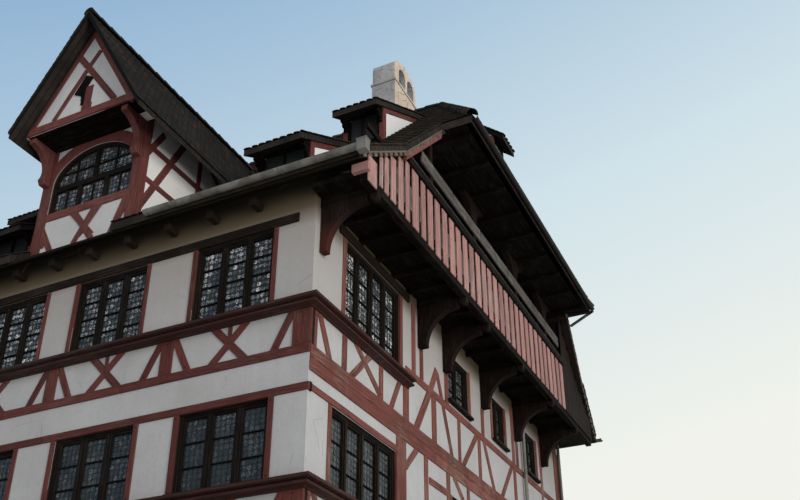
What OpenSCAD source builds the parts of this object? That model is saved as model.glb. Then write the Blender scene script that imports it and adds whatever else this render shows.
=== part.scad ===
/* [House] */
// Length of the eaves walls
house_l = 12450; // [12000:50:13000]
// Depth of the gable walls
house_d = 15200; // [15000:50:15600]
// Thickness of the plastered frame walls
wall_t = 280; // [220:10:340]
// Height of the sandstone storeys
stone_h = 5400; // [5300:10:5450]
// Thickness of the sandstone walls
stone_t = 650; // [500:10:800]

/* [Storeys] */
// Height of the lower sill above the ground
low_sill_z = 6470; // [6400:10:6550]
// Height of the upper sill above the ground
up_sill_z = 9800; // [9700:10:9900]
// Height of the top of the upper frame storey
plate_z = 12080; // [12000:10:12100]
// How far the timbers stand out of the plaster
timber_proud = 25; // [10:5:40]

/* [Main roof] */
// Height of the ridge
ridge_z = 20400; // [20200:50:20600]
// Height of the roof surface where the slope breaks
break_z = 13540; // [13500:10:13580]
// Height of the roof surface at the eaves
eave_z = 12400; // [12350:10:12450]
// How far the eaves stand out from the wall
eave_out = 550; // [450:10:650]
// Distance from the wall face in to the slope break
break_in = 1100; // [1050:10:1150]
// Upright thickness of the roof with its tiles
roof_v = 190; // [180:10:200]

/* [Half hips] */
// How far the hip over the gallery stands out from the gable wall
hip_out = 2185; // [2150:5:2220]
// Height of the half hip eaves
hip_eave_z = 15280; // [15260:10:15330]
// Rise of the half hips over their run
hip_slope = 1.9; // [1.85:0.01:1.95]
// How far the verge stands out at the far gable
far_out = 500; // [400:10:600]

/* [Gallery] */
// How far the gallery stands out from the gable wall
gallery_out = 1200; // [1100:10:1250]
// Height of the underside of the gallery
gallery_z = 11850; // [11800:10:11900]
// Height of the top of the parapet boards
parapet_z = 13410; // [13350:10:13450]
// Gap between parapet boards
board_gap = 60; // [20:5:70]

/* [Big dormer] */
// Distance of the dormer's middle from the middle of the house
dormer_x = 265; // [-300:5:300]
// Width of the dormer
dormer_w = 2810; // [2600:10:3000]
// Height of the foot of the dormer's gable
dormer_foot_z = 15500; // [15450:10:15550]
// Height of the dormer's ridge
dormer_ridge_z = 18420; // [18380:10:18460]
// How far the dormer's gable stands out from the wall
dormer_out = 740; // [700:10:780]

/* [Chimney] */
// Width of the chimney along the ridge
chimney_w = 740; // [700:10:800]
// Depth of the chimney across the ridge
chimney_d = 1500; // [1450:10:1550]
// Height of the chimney's top
chimney_z = 22330; // [22250:10:22400]

/* [Hidden] */
half_l = house_l / 2;
half_d = house_d / 2;
eave_y = half_d + eave_out;
break_y = half_d - break_in;
eave_slope = (break_z - eave_z) / (eave_y - break_y);
main_slope = (ridge_z - break_z) / break_y;
hip_eave_x = half_l + hip_out;
far_x = half_l + far_out;
hip_corner_y = break_y - (hip_eave_z - break_z) / main_slope;
hip_run = (ridge_z - hip_eave_z) / hip_slope;
gallery_x = half_l + gallery_out;
gallery_y0 = -half_d - 230;
gallery_y1 = half_d - 200;
gallery_top = 12150;
ceiling_z = 15060;
big = 30000;
glass_t = 12;
reveal = 60;
frame_d = 70;
attic_t = 220;

// Colours of the building
plaster = "#d9d2c4";
red = "#7d3a32";
red_light = "#b8706a";
sandstone = "#b79a7c";
tile = "#4c3a33";
dark_wood = "#2f2724";
grey_wood = "#8f877b";
metal = "#7c7b74";
glass_tint = "#5d6a72";

// Height of the main roof's surface over a line y from the ridge
function roof_z(y) = abs(y) > break_y
    ? eave_z + (eave_y - abs(y)) * eave_slope
    : ridge_z - abs(y) * main_slope;
function under_z(y) = roof_z(y) - roof_v;
// Distance from the ridge at which the main slope reaches a height
function slope_y(z) = (ridge_z - z) / main_slope;
// Height of the hip over the gallery at a distance x
function hip_z(x) = hip_eave_z + (hip_eave_x - x) * hip_slope;

// Window openings as middle, sill height, width, height, lights, rows
front_upper = [for (x = [-4300, -1245, 1432, 4443]) [x, up_sill_z, 1780, 1740, 3, 4]];
front_lower = [for (x = [-4400, -1395, 1580, 4500]) [x, low_sill_z, 1900, 1560, 3, 3]];
front_stone = [
    [-4400, 3500, 1300, 1300, 2, 2], [-1450, 3500, 1300, 1300, 2, 2],
    [1450, 3500, 1300, 1300, 2, 2], [4400, 3500, 1300, 1300, 2, 2],
    [-4400, 1100, 1100, 1200, 2, 2], [1450, 1100, 1100, 1200, 2, 2], [4400, 1100, 1100, 1200, 2, 2]
];
gable_upper = [
    [-5190, up_sill_z, 2420, 1930, 4, 4], [-700, 10210, 1300, 1300, 2, 3],
    [2120, 10270, 940, 1250, 2, 3], [4735, 10190, 1050, 1300, 2, 3]
];
gable_lower = [
    [-5475, low_sill_z, 2620, 1560, 4, 3], [-890, 6800, 820, 1150, 2, 3], [2160, 6800, 980, 1150, 2, 3]
];
gable_stone = [
    [-5200, 3500, 1300, 1300, 2, 2], [-1700, 3500, 1300, 1300, 2, 2], [1900, 3500, 1300, 1300, 2, 2],
    [5400, 3500, 1300, 1300, 2, 2], [-5200, 1100, 1100, 1200, 2, 2], [-1700, 1100, 1100, 1200, 2, 2],
    [1900, 1100, 1100, 1200, 2, 2], [5400, 1100, 1100, 1200, 2, 2]
];
back_stone = [for (w = front_stone) [-w[0], w[1], w[2], w[3], w[4], w[5]], [1450, 1100, 1100, 1200, 2, 2]];
portal_x = -1450;
portal_w = 1400;
portal_h = 1650;

// Puts a drawing on a wall: x along the wall, y up, z out of its face
module on_side(k, mirrored = false) {
    rotate([0, 0, 90 * k])
        translate([0, k % 2 == 0 ? -half_d : -half_l, 0])
            rotate([90, 0, 0])
                mirror([mirrored ? 1 : 0, 0, 0])
                    children();
}

module layer(from, to) {
    translate([0, 0, from]) linear_extrude(to - from) children();
}

// Upright box drawn from its two corners
module box(x0, x1, y0, y1, z0, z1) {
    translate([x0, y0, z0]) cube([x1 - x0, y1 - y0, z1 - z0]);
}

module bar(u0, u1, v0, v1) {
    translate([u0, v0]) square([u1 - u0, v1 - v0]);
}

// Leaning timber between two points
module strut(a, b, w) {
    run = b - a;
    translate(a) rotate(atan2(run[1], run[0])) translate([-w, -w / 2]) square([norm(run) + 2 * w, w]);
}

module openings(list) {
    for (w = list) bar(w[0] - w[2] / 2, w[0] + w[2] / 2, w[1], w[1] + w[3]);
}

// Block extruded along the house from a drawing across it
module along_x(x0, x1) {
    translate([x0, 0, 0]) rotate([90, 0, 90]) linear_extrude(x1 - x0) children();
}

// Block extruded across the house from a drawing along it
module along_y(y0, y1) {
    translate([0, y1, 0]) rotate([90, 0, 0]) linear_extrude(y1 - y0) children();
}

// Sandstone storeys

module stone_wall(k, list, half) {
    color(sandstone) on_side(k) layer(-stone_t, 0) difference() {
        bar(-half, half, 0, stone_h);
        openings(list);
    }
}

module portal_shape(grow) {
    translate([portal_x, 0]) {
        bar(-portal_w / 2 - grow, portal_w / 2 + grow, -100, portal_h);
        translate([0, portal_h]) circle(r = portal_w / 2 + grow, $fn = 64);
    }
}

module stone_front() {
    color(sandstone) on_side(0) layer(-stone_t, 0) difference() {
        bar(-half_l, half_l, 0, stone_h);
        openings(front_stone);
        portal_shape(0);
    }
}
module stone_right() { stone_wall(1, gable_stone, half_d - stone_t); }
module stone_back() { stone_wall(2, back_stone, half_l); }
module stone_left() { stone_wall(3, gable_stone, half_d - stone_t); }

// Arched stone surround that stands out of the wall
module portal() {
    color(sandstone) on_side(0) layer(0, 90) difference() {
        intersection() {
            portal_shape(230);
            bar(-half_l, half_l, 0, stone_h);
        }
        portal_shape(0);
    }
}

module door() {
    color(dark_wood) on_side(0) layer(-300, -220) intersection() {
        portal_shape(0);
        bar(-half_l, half_l, 0, stone_h);
    }
}

// Plastered frame walls of the two upper storeys

module plaster_wall(k, list, half, top, mirrored = false) {
    color(plaster) on_side(k, mirrored) layer(-wall_t, 0) difference() {
        bar(-half, half, stone_h, top);
        openings(list);
    }
}

soffit_t = 50;
wall_top = under_z(half_d) - soffit_t;
module wall_front() { plaster_wall(0, concat(front_upper, front_lower), half_l, wall_top); }
module wall_right() { plaster_wall(1, concat(gable_upper, gable_lower), half_d - wall_t, plate_z); }
module wall_back() { plaster_wall(2, concat(front_upper, front_lower), half_l, wall_top); }
module wall_left() { plaster_wall(3, concat(gable_upper, gable_lower), half_d - wall_t, plate_z, true); }

// Drawing of the space under the main roof, from a floor height up
module under_roof(z0, top) {
    low = half_d - wall_t;
    polygon([
        [-low, z0], [-low, wall_top], [-half_d, wall_top], [-half_d, under_z(half_d)],
        [-break_y, under_z(break_y)],
        [-slope_y(top + roof_v), top], [slope_y(top + roof_v), top],
        [break_y, under_z(break_y)], [half_d, under_z(half_d)], [half_d, wall_top], [low, wall_top], [low, z0]
    ]);
}

module attic_openings() {
    for (y = [-3000, 0, 3000]) bar(y - 450, y + 450, 13100, 14300);
}

module attic_gables() {
    color(plaster) {
        along_x(half_l - attic_t, half_l) difference() {
            under_roof(plate_z, hip_z(half_l) - roof_v);
            attic_openings();
        }
        along_x(-half_l, -half_l + attic_t) difference() {
            under_roof(plate_z, hip_eave_z + far_out * hip_slope - roof_v);
            attic_openings();
        }
    }
}

floor_levels = [[0, 150], [2750, 2950], [5350, 5550], [8420, 8880], [12080, 12400], [14800, 14950]];
module floors() {
    color(grey_wood) {
        in_x = half_l - stone_t;
        in_y = half_d - stone_t;
        box(-in_x, in_x, -in_y, in_y, floor_levels[0][0], floor_levels[0][1]);
        box(-in_x, in_x, -in_y, in_y, floor_levels[1][0], floor_levels[1][1]);
        box(-in_x, in_x, -in_y, in_y, floor_levels[2][0], floor_levels[2][1]);
        frame_x = half_l - wall_t;
        frame_y = half_d - wall_t;
        box(-frame_x, frame_x, -frame_y, frame_y, floor_levels[3][0], floor_levels[3][1]);
        box(-half_l + attic_t, half_l - attic_t, -frame_y, frame_y, floor_levels[4][0], floor_levels[4][1]);
        collar = slope_y(floor_levels[5][1] + roof_v);
        box(-half_l + attic_t, half_l - attic_t, -collar, collar, floor_levels[5][0], floor_levels[5][1]);
    }
}

// Timber frame

post_w = 290;
corner_w = 360;
brace_w = 150;
band_top = 9610;
band_foot = 8735;
band_rail = 175;
front_posts = [-half_l + corner_w / 2, -2900, 235, 3095, half_l - corner_w / 2];
function post_half(i) = (i == 0 || i == len(front_posts) - 1 ? corner_w : post_w) / 2;

// Bay with a strut at each post and a cross in the middle
module band_bay(u0, u1, v0, v1) {
    mid = (u0 + u1) / 2 - 40;
    cross = 340;
    intersection() {
        bar(u0, u1, v0, v1);
        union() {
            strut([u0 + 20, v1], [u0 + 370, v0], brace_w);
            strut([u1 - 20, v1], [u1 - 370, v0], brace_w);
            strut([mid - cross, v0], [mid + cross, v1], brace_w);
            strut([mid - cross, v1], [mid + cross, v0], brace_w);
            bar(mid - 45, mid + 45, (v0 + v1) / 2, v1);
        }
    }
}

module band(v0, v1, reach) {
    bar(-reach, reach, v0, v0 + band_rail);
    for (s = [-1, 1]) bar(s * half_l - timber_proud, s * half_l + timber_proud, v0, v1);
    for (i = [0 : len(front_posts) - 1])
        bar(front_posts[i] - post_half(i), front_posts[i] + post_half(i), v0, v1);
    for (i = [0 : len(front_posts) - 2])
        band_bay(front_posts[i] + post_half(i), front_posts[i + 1] - post_half(i + 1), v0 + band_rail, v1);
}

// Red posts at the sides of a window
module jambs(list, w) {
    for (o = list) for (s = [-1, 1]) translate([o[0] + s * (o[2] + w) / 2 - w / 2, o[1]]) square([w, o[3]]);
}

low_band_top = low_sill_z - 180;
module eaves_frame(k) {
    reach = half_l + timber_proud;
    color(red) on_side(k) layer(0, timber_proud) difference() {
        union() {
            band(band_foot, band_top, reach);
            band(stone_h, low_band_top, reach);
            bar(-reach, reach, 8020, 8165);
            bar(-half_l + 350, half_l - 350, 11540, 11740);
            jambs(front_upper, 95);
            jambs(front_lower, 110);
        }
        openings(concat(front_upper, front_lower));
    }
}

// Level timbers of the gable walls as start, end, foot and head
gable_rails = [
    [-half_d, half_d, 8400, 8900], [-3700, half_d, 9960, 10130], [-6700, -3530, 11740, 11940],
    [-half_d, -4020, 8040, 8165], [-2550, -1600, 7850, 8000], [-3720, half_d, 6640, 6800],
    [-half_d, half_d, stone_h, stone_h + band_rail]
];
// Upright timbers in the same order
gable_posts = [
    [-half_d, -half_d + 210, 8900, band_top], [-6460, -6290, 8900, band_top], [-4940, -4780, 8900, band_top],
    [-3820, -3570, 8900, 11740], [-3530, -3320, 10130, 11800], [-2980, -2800, 10130, 11800],
    [-2340, -2110, 8900, 9960], [-1550, -1350, 10130, 11800], [-820, -680, 8900, 9960],
    [490, 660, 8900, 9960], [800, 980, 10130, 10850], [3140, 3330, 8900, 11800], [3460, 3630, 10130, 10850],
    [5640, 5800, stone_h, 11800], [7150, half_d, stone_h, 11800],
    [-half_d, -half_d + 210, stone_h, low_band_top], [-6460, -6290, stone_h, low_band_top],
    [-4940, -4780, stone_h, low_band_top], [-4160, -3720, stone_h, 8400],
    [-2800, -2620, stone_h, 8400], [-1590, -1410, stone_h, 8400], [-370, -220, stone_h, 8400],
    [1390, 1560, stone_h, 8400], [2760, 2930, stone_h, 8400]
];
// Braces as foot, head and width
gable_braces = [
    [[-6920, 8880], [-7300, 9600], 160], [[-6090, 8880], [-5340, 9630], brace_w],
    [[-4850, 8930], [-5920, 9630], brace_w], [[-4400, 8890], [-3990, 9640], brace_w],
    [[-3190, 8880], [-2400, 10070], 210], [[-2400, 10070], [-2030, 10700], 190],
    [[-1160, 8750], [-1980, 10620], brace_w], [[-580, 8840], [480, 10030], 160],
    [[1530, 8890], [900, 10010], 160], [[2110, 8880], [2990, 9930], 160],
    [[-3700, 7880], [-3150, 8430], brace_w], [[-630, 8030], [-1130, 8400], brace_w],
    [[-6830, 5600], [-7300, 6290], brace_w], [[-6150, 5600], [-5300, 6290], brace_w],
    [[-5020, 5600], [-5870, 6290], brace_w], [[-3500, 5600], [-2900, 6640], brace_w],
    [[400, 5600], [-100, 6640], brace_w], [[2200, 5600], [2700, 6640], brace_w],
    [[4600, 5600], [3800, 6640], brace_w], [[6100, 8880], [6900, 9960], brace_w]
];

module gable_frame(k, mirrored) {
    color(red) on_side(k, mirrored) layer(0, timber_proud) difference() {
        union() {
            for (t = concat(gable_rails, gable_posts)) bar(t[0], t[1], t[2], t[3]);
            intersection() {
                bar(-half_d, half_d, stone_h, plate_z);
                for (b = gable_braces) strut(b[0], b[1], b[2]);
            }
            jambs(gable_upper, 130);
            jambs(gable_lower, 110);
        }
        openings(concat(gable_upper, gable_lower));
    }
}

module frame_front() { eaves_frame(0); }
module frame_right() { gable_frame(1, false); }
module frame_back() { eaves_frame(2); }
module frame_left() { gable_frame(3, true); }

// Windows

module casement(w, border, stile) {
    u0 = w[0] - w[2] / 2;
    u1 = w[0] + w[2] / 2;
    v0 = w[1];
    v1 = w[1] + w[3];
    difference() {
        bar(u0, u1, v0, v1);
        for (i = [0 : w[4] - 1]) {
            pitch = (w[2] - 2 * border + stile) / w[4];
            bar(u0 + border + i * pitch, u0 + border + (i + 1) * pitch - stile, v0 + border, v1 - border);
        }
    }
}

module casements(k, list, mirrored = false) {
    color(dark_wood) on_side(k, mirrored) layer(-reveal - frame_d, -reveal)
        for (w = list) casement(w, 70, 110);
}

module glazing(k, list, mirrored = false) {
    back = -reveal - frame_d;
    color(glass_tint) on_side(k, mirrored) layer(back - glass_t, back) openings(list);
}

front_list = concat(front_upper, front_lower, front_stone);
back_list = concat(front_upper, front_lower, back_stone);
gable_list = concat(gable_upper, gable_lower);
module casements_front() { casements(0, front_list); }
module casements_right() {
    casements(1, gable_list);
    casements(1, gable_stone);
    attic_shutters(1);
}
module casements_back() { casements(2, back_list); }
module casements_left() {
    casements(3, gable_list, true);
    casements(3, gable_stone);
    attic_shutters(3);
}
module glass_front() { glazing(0, front_list); }
module glass_right() {
    glazing(1, gable_list);
    glazing(1, gable_stone);
}
module glass_back() { glazing(2, back_list); }
module glass_left() {
    glazing(3, gable_list, true);
    glazing(3, gable_stone);
}

// Boarded shutters that close the attic's gable windows
module attic_shutters(k) {
    color(dark_wood) on_side(k) layer(-140, -90) attic_openings();
}

// Moulded sills

sill_h = 190;
module sill_profile() {
    polygon(concat(
        [[0, 0], [230, 0], [230, -55], [200, -65]],
        [for (a = [90 : -15 : 0]) [95 + 90 * cos(a), -155 + 90 * sin(a)]],
        [[60, -165], [60, -sill_h], [0, -sill_h]]
    ));
}

// Sill on the eaves wall with a mitred return on the gable wall
module sill_run(z, wall_l, end_y) {
    reach = 400;
    intersection() {
        translate([0, 0, z]) translate([-wall_l / 2 - reach, 0, 0]) rotate([90, 0, 90])
            linear_extrude(wall_l + 2 * reach) mirror([1, 0]) translate([half_d, 0]) sill_profile();
        translate([0, 0, z - 500]) linear_extrude(1000) polygon([
            [-half_l - 230, -half_d - 400], [half_l + 400, -half_d - 400], [half_l, -half_d],
            [half_l - 600, -half_d + 600], [-half_l - 230, -half_d + 600]
        ]);
    }
    intersection() {
        translate([0, end_y, z]) rotate([90, 0, 0])
            linear_extrude(end_y + half_d + reach) translate([half_l, 0]) sill_profile();
        translate([0, 0, z - 500]) linear_extrude(1000) polygon([
            [half_l + 400, -half_d - 400], [half_l, -half_d], [half_l - 600, -half_d + 600],
            [half_l - 600, half_d], [half_l + 400, half_d]
        ]);
    }
}

module sills_lower() {
    color(red) for (a = [0, 180]) rotate([0, 0, a]) sill_run(low_sill_z, house_l, -3900);
}
module sills_upper() {
    color(red) for (a = [0, 180]) rotate([0, 0, a]) sill_run(up_sill_z, house_l, -3620);
}

// Gallery under the half hip

bracket_at = [-7350, -2980, -1560, 900, 3450, 5800];
beam_t = 160;
module gallery_floor() {
    inner = gallery_x - beam_t;
    color(dark_wood) {
        box(half_l, gallery_x, gallery_y0, gallery_y1, 12050, gallery_top);
        for (y = bracket_at) box(half_l, inner, y - 90, y + 90, gallery_z, 12050);
        box(inner, gallery_x, gallery_y0, gallery_y1, gallery_z, 12050);
    }
}

// Curved knee bracket drawn with x out from the wall
module knee(out, drop, w) {
    r = min(out, drop) - w;
    difference() {
        polygon([[0, 0], [out, 0], [out, -w], [w, -drop], [0, -drop]]);
        translate([w + r, -w - r]) circle(r = r, $fn = 64);
    }
}

// Brackets with a rounded pendant below the outer end of each
module gallery_brackets() {
    bracket_w = 160;
    pendant_x = gallery_x - beam_t / 2;
    pendant_drop = 70;
    color(red) {
        for (y = bracket_at) {
            translate([half_l + timber_proud, y + bracket_w / 2, gallery_z]) rotate([90, 0, 0])
                linear_extrude(bracket_w) knee(960, 1000, y == bracket_at[0] ? 125 : 190);
            translate([pendant_x, y + bracket_w / 2, gallery_z - pendant_drop]) rotate([90, 0, 0])
                linear_extrude(bracket_w) union() {
                    circle(r = beam_t / 2, $fn = 32);
                    translate([-beam_t / 2, 0]) square([beam_t, pendant_drop]);
                }
        }
        box(gallery_x - 275, gallery_x + 65, gallery_y0 - 100, gallery_y0, 12020, 12200);
    }
}

module under_roof_block() {
    along_x(half_l, hip_eave_x) polygon([
        [-half_d - 100, 0], [-half_d - 100, under_z(half_d + 100)], [-break_y, under_z(break_y)],
        [0, under_z(0)], [break_y, under_z(break_y)], [half_d + 100, under_z(half_d + 100)], [half_d + 100, 0]
    ]);
}

board_t = 30;
rail_x = gallery_x - 60;
// Middles of the gaps between the parapet boards, close together at the front
board_gaps = concat(
    [gallery_y0 - board_gap / 2, -7420, -7220, -6960, -6630, -6280, -6000, -5540, -5210, -4820],
    [for (i = [1 : 24]) -4820 + i * 395]
);
loft_y = -4820 + 24 * 395;
loft_board = 330;
module gallery_parapet() {
    half_gap = board_gap / 2;
    color(red_light) intersection() {
        union() {
            for (i = [0 : len(board_gaps) - 2])
                box(gallery_x, gallery_x + board_t, board_gaps[i] + half_gap, board_gaps[i + 1] - half_gap,
                    i == 0 ? gallery_z - 20 : 12000, parapet_z);
            for (z = [12250, parapet_z - 320]) box(rail_x, gallery_x, gallery_y0, gallery_y1, z, z + 120);
            // Boards up to the roof at the rear end
            for (i = [0 : floor((gallery_y1 - loft_y) / loft_board)])
                box(gallery_x, gallery_x + board_t, loft_y + i * loft_board,
                    min(loft_y + (i + 1) * loft_board - 12, gallery_y1), 12000, ceiling_z);
        }
        under_roof_block();
    }
}

rail_breaks = [-5300, -1800, 2150, loft_y - 40];
module gallery_rails() {
    color(grey_wood) intersection() {
        union() {
            box(rail_x, gallery_x + 90, gallery_y0, loft_y - 20, parapet_z, 13600);
            for (i = [0 : 2]) box(rail_x, rail_x + 40, rail_breaks[i], rail_breaks[i + 1] - 15, 14040, 14350);
        }
        under_roof_block();
    }
}

gallery_posts_at = [-4700, -2100, 900, 3450, 4800];
post_s = 150;
module gallery_posts() {
    color(red) {
        for (y = gallery_posts_at)
            box(gallery_x - 60 - post_s, gallery_x - 60, y - post_s / 2, y + post_s / 2,
                gallery_top, min(ceiling_z, under_z(abs(y) + post_s)));
        for (y = [-2100, 900, 3450]) for (s = [-1, 1])
            translate([gallery_x - 60, y + s * post_s / 2, ceiling_z]) rotate([0, 0, 90 * s])
                rotate([90, 0, 0]) translate([0, 0, s > 0 ? -post_s : 0])
                    linear_extrude(post_s) knee(520, 560, 110);
    }
}

module gallery_ceiling() {
    y_end = slope_y(ceiling_z + 150 + roof_v);
    color(dark_wood) {
        box(half_l, hip_eave_x - 180, -y_end, y_end, ceiling_z + 100, ceiling_z + 150);
        for (i = [0 : 8]) {
            y = -y_end + 300 + i * (2 * y_end - 600) / 8;
            box(half_l, hip_eave_x - 180, y - 70, y + 70, ceiling_z, ceiling_z + 100);
        }
    }
}

// Main roof

module slope_block(side) {
    along_x(-far_x - 10, hip_eave_x + 10) scale([side, 1]) polygon([
        [-eave_y, eave_z], [-break_y, break_z], [0, ridge_z],
        [0, ridge_z - roof_v], [-break_y, break_z - roof_v], [-eave_y, eave_z - roof_v]
    ]);
}

// Plan of one slope with the verge over the gallery slanting out to the hip
verge_in = 5;
verge_step = 7700;
module slope_plan(side) {
    linear_extrude(big) scale([1, side]) polygon([
        [-far_x, -eave_y], [gallery_x - verge_in, -eave_y], [gallery_x + 75, -half_d + 300],
        [verge_step, -hip_corner_y], [hip_eave_x, -hip_corner_y],
        [hip_eave_x - hip_run, 0], [-far_x + hip_run, 0], [-far_x, -hip_corner_y]
    ]);
}

module roof_front() {
    color(tile) difference() {
        intersection() {
            slope_block(1);
            slope_plan(1);
        }
        dormer_hole();
        for (d = front_dormers) shed_hole(d);
        chimney_hole();
    }
}

module roof_back() {
    color(tile) difference() {
        intersection() {
            slope_block(-1);
            slope_plan(-1);
        }
        for (d = front_dormers) mirror([0, 1, 0]) shed_hole(d);
        chimney_hole();
    }
}

module hip_end(eave_x) {
    intersection() {
        along_y(-hip_corner_y, hip_corner_y) polygon([
            [eave_x, hip_eave_z], [eave_x - hip_run, ridge_z],
            [eave_x - hip_run, ridge_z - roof_v], [eave_x, hip_eave_z - roof_v]
        ]);
        linear_extrude(big) polygon([[eave_x, -hip_corner_y], [eave_x, hip_corner_y], [eave_x - hip_run, 0]]);
    }
}

module half_hips() {
    color(tile) {
        difference() {
            hip_end(hip_eave_x);
            perch_hole();
        }
        mirror([1, 0, 0]) hip_end(far_x);
    }
}

// Turns what stands upright at the origin so that it runs from one point to another
module between(a, b) {
    run = b - a;
    fall = 90 - atan2(run[2], norm([run[0], run[1]]));
    translate(a) rotate([0, 0, atan2(run[1], run[0])]) rotate([0, fall, 0]) children();
}

// Half round tile along a line between two points
module tile_run(a, b, r) {
    between(a, b) linear_extrude(norm(b - a)) difference() {
        circle(r = r, $fn = 32);
        circle(r = r - 30, $fn = 32);
        translate([0, -2 * r]) square([4 * r, 4 * r]);
    }
}

module ridge_tiles() {
    color(tile) difference() {
        tile_run([-far_x + hip_run, 0, ridge_z - 10], [hip_eave_x - hip_run, 0, ridge_z - 10], 130);
        chimney_hole();
    }
}

// Timbers under the verge over the gallery
verge_timber_h = 200;
module verge_timbers() {
    color(red) for (s = [-1, 1]) scale([1, s, 1]) intersection() {
        along_x(gallery_x + board_t + 5, verge_step) polygon([
            [-break_y + 90, under_z(break_y - 90)], [-hip_corner_y, under_z(hip_corner_y)],
            [-hip_corner_y, under_z(hip_corner_y) - verge_timber_h],
            [-break_y + 90, under_z(break_y - 90) - verge_timber_h]
        ]);
        slope_plan(1);
    }
}

// Boards under the roof between the wall and the gutter
module eaves_boards() {
    end_y = eave_y - 60;
    color(dark_wood) for (s = [-1, 1]) scale([1, s, 1]) along_x(-far_x + 60, gallery_x - 40) polygon([
        [-half_d, wall_top], [-end_y, under_z(end_y) - soffit_t],
        [-end_y, under_z(end_y)], [-half_d, under_z(half_d)]
    ]);
}

module beam_ends() {
    color(dark_wood) for (s = [-1, 1]) for (i = [0 : 10])
        translate([4965 - i * 1020, s * (half_d + 150), 12100]) cube([150, 300, 160], center = true);
}

// Rain goods

gutter_r = 85;
hip_gutter_r = 70;
module gutter_profile(r) {
    difference() {
        circle(r = r, $fn = 48);
        circle(r = r - 8, $fn = 48);
        translate([-2 * r, 0]) square(4 * r);
    }
}

module gutters() {
    color(metal) {
        for (s = [-1, 1]) along_x(-far_x, gallery_x + 140)
            translate([s * (eave_y + gutter_r), eave_z - 60]) gutter_profile(gutter_r);
        along_y(-hip_corner_y, hip_corner_y)
            translate([hip_eave_x + hip_gutter_r, hip_eave_z - 60]) gutter_profile(hip_gutter_r);
    }
}

module downpipes() {
    pipe_r = 50;
    pipe_x = half_l + 100;
    outlet_foot = [7690, 5220, 14990];
    outlet_head = [hip_eave_x + hip_gutter_r, hip_corner_y + 50, hip_eave_z - 110];
    color(metal) {
        for (s = [-1, 1]) translate([s * pipe_x, s * (half_d - 150), 0])
            cylinder(r = pipe_r, h = plate_z + 100, $fn = 32);
        translate([pipe_x, 3930, 0]) cylinder(r = pipe_r, h = gallery_z, $fn = 32);
        // Outlet of the hip's gutter that empties on the rear slope
        between(outlet_head, outlet_foot)
            cylinder(r = pipe_r - 5, h = norm(outlet_foot - outlet_head), $fn = 32);
    }
}

// Chimney that straddles the ridge

chimney_x = 4180;
chimney_crown = 480;
chimney_wall = 160;
module chimney_hole() {
    box(chimney_x - chimney_w / 2, chimney_x + chimney_w / 2, -chimney_d / 2, chimney_d / 2, 0, big);
}

module chimney() {
    mouth_w = 460;
    mouth_foot = 21330;
    mouth_h = 480;
    chimney_foot = floor_levels[5][1];
    spring = chimney_z - chimney_crown;
    in_x = chimney_w / 2 - chimney_wall;
    in_y = chimney_d / 2 - chimney_wall;
    color(plaster) difference() {
        along_x(chimney_x - chimney_w / 2, chimney_x + chimney_w / 2) {
            bar(-chimney_d / 2, chimney_d / 2, chimney_foot, spring);
            translate([0, spring]) intersection() {
                scale([1, 2 * chimney_crown / chimney_d]) circle(d = chimney_d, $fn = 64);
                bar(-chimney_d, chimney_d, 0, chimney_d);
            }
        }
        box(chimney_x - in_x, chimney_x + in_x, -in_y, in_y, chimney_foot - 50, spring + 60);
        for (y = [-215, 375]) along_x(chimney_x - chimney_w, chimney_x + chimney_w) translate([y, mouth_foot]) {
            bar(-mouth_w / 2, mouth_w / 2, 0, mouth_h);
            translate([0, mouth_h]) circle(d = mouth_w, $fn = 48);
        }
    }
}

// Big dormer

dormer_l = dormer_x - dormer_w / 2;
dormer_r = dormer_x + dormer_w / 2;
dormer_pitch = 1.7;
dormer_v = 140;
dormer_wall_t = 180;
dormer_foot = roof_z(half_d) + 10;
// The roof's middle and its reach to each side
dormer_mid = 400;
reach_l = 1760;
reach_r = 2000;
dormer_verge = 340;
window_x = 290;
window_foot = 13680;
window_spring = 14500;
window_w = 2330;
window_rise = 810;

// Height of the underside of the dormer's roof over a line x
function dormer_under(x) = dormer_ridge_z - dormer_v - abs(x - dormer_mid) * dormer_pitch;
// Distance from the ridge at which the main roof meets the top of a side wall
function dormer_back(x) = slope_y(dormer_under(x));

module dormer_hole() {
    linear_extrude(big) polygon([
        [dormer_l, -half_d], [dormer_r, -half_d],
        [dormer_r, -dormer_back(dormer_r)], [dormer_l, -dormer_back(dormer_l)]
    ]);
}

// Basket arch over a flat foot
module arch_window(w, foot, spring, rise) {
    polygon(concat(
        [[-w / 2, foot], [w / 2, foot]],
        [for (a = [0 : 5 : 180]) [w / 2 * cos(a), spring + rise * sin(a)]]
    ));
}

module dormer_window_shape(grow) {
    translate([window_x, 0])
        arch_window(window_w + 2 * grow, window_foot - grow, window_spring, window_rise + grow);
}

// Drawing of all that lies under the dormer's roof and over a foot line
module dormer_inside(foot = 12000) {
    half = (dormer_ridge_z - dormer_v - foot) / dormer_pitch;
    polygon([[dormer_mid - half, foot], [dormer_mid, dormer_under(dormer_mid)], [dormer_mid + half, foot]]);
}

// Drawing across the house of the part of a side wall that stands over the main roof
module dormer_side(x, drop) {
    back = dormer_back(x);
    polygon([
        [-half_d, roof_z(half_d) - drop], [-break_y, break_z - drop], [-back, roof_z(back) - drop],
        [-back, dormer_ridge_z], [-half_d, dormer_ridge_z]
    ]);
}

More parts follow.
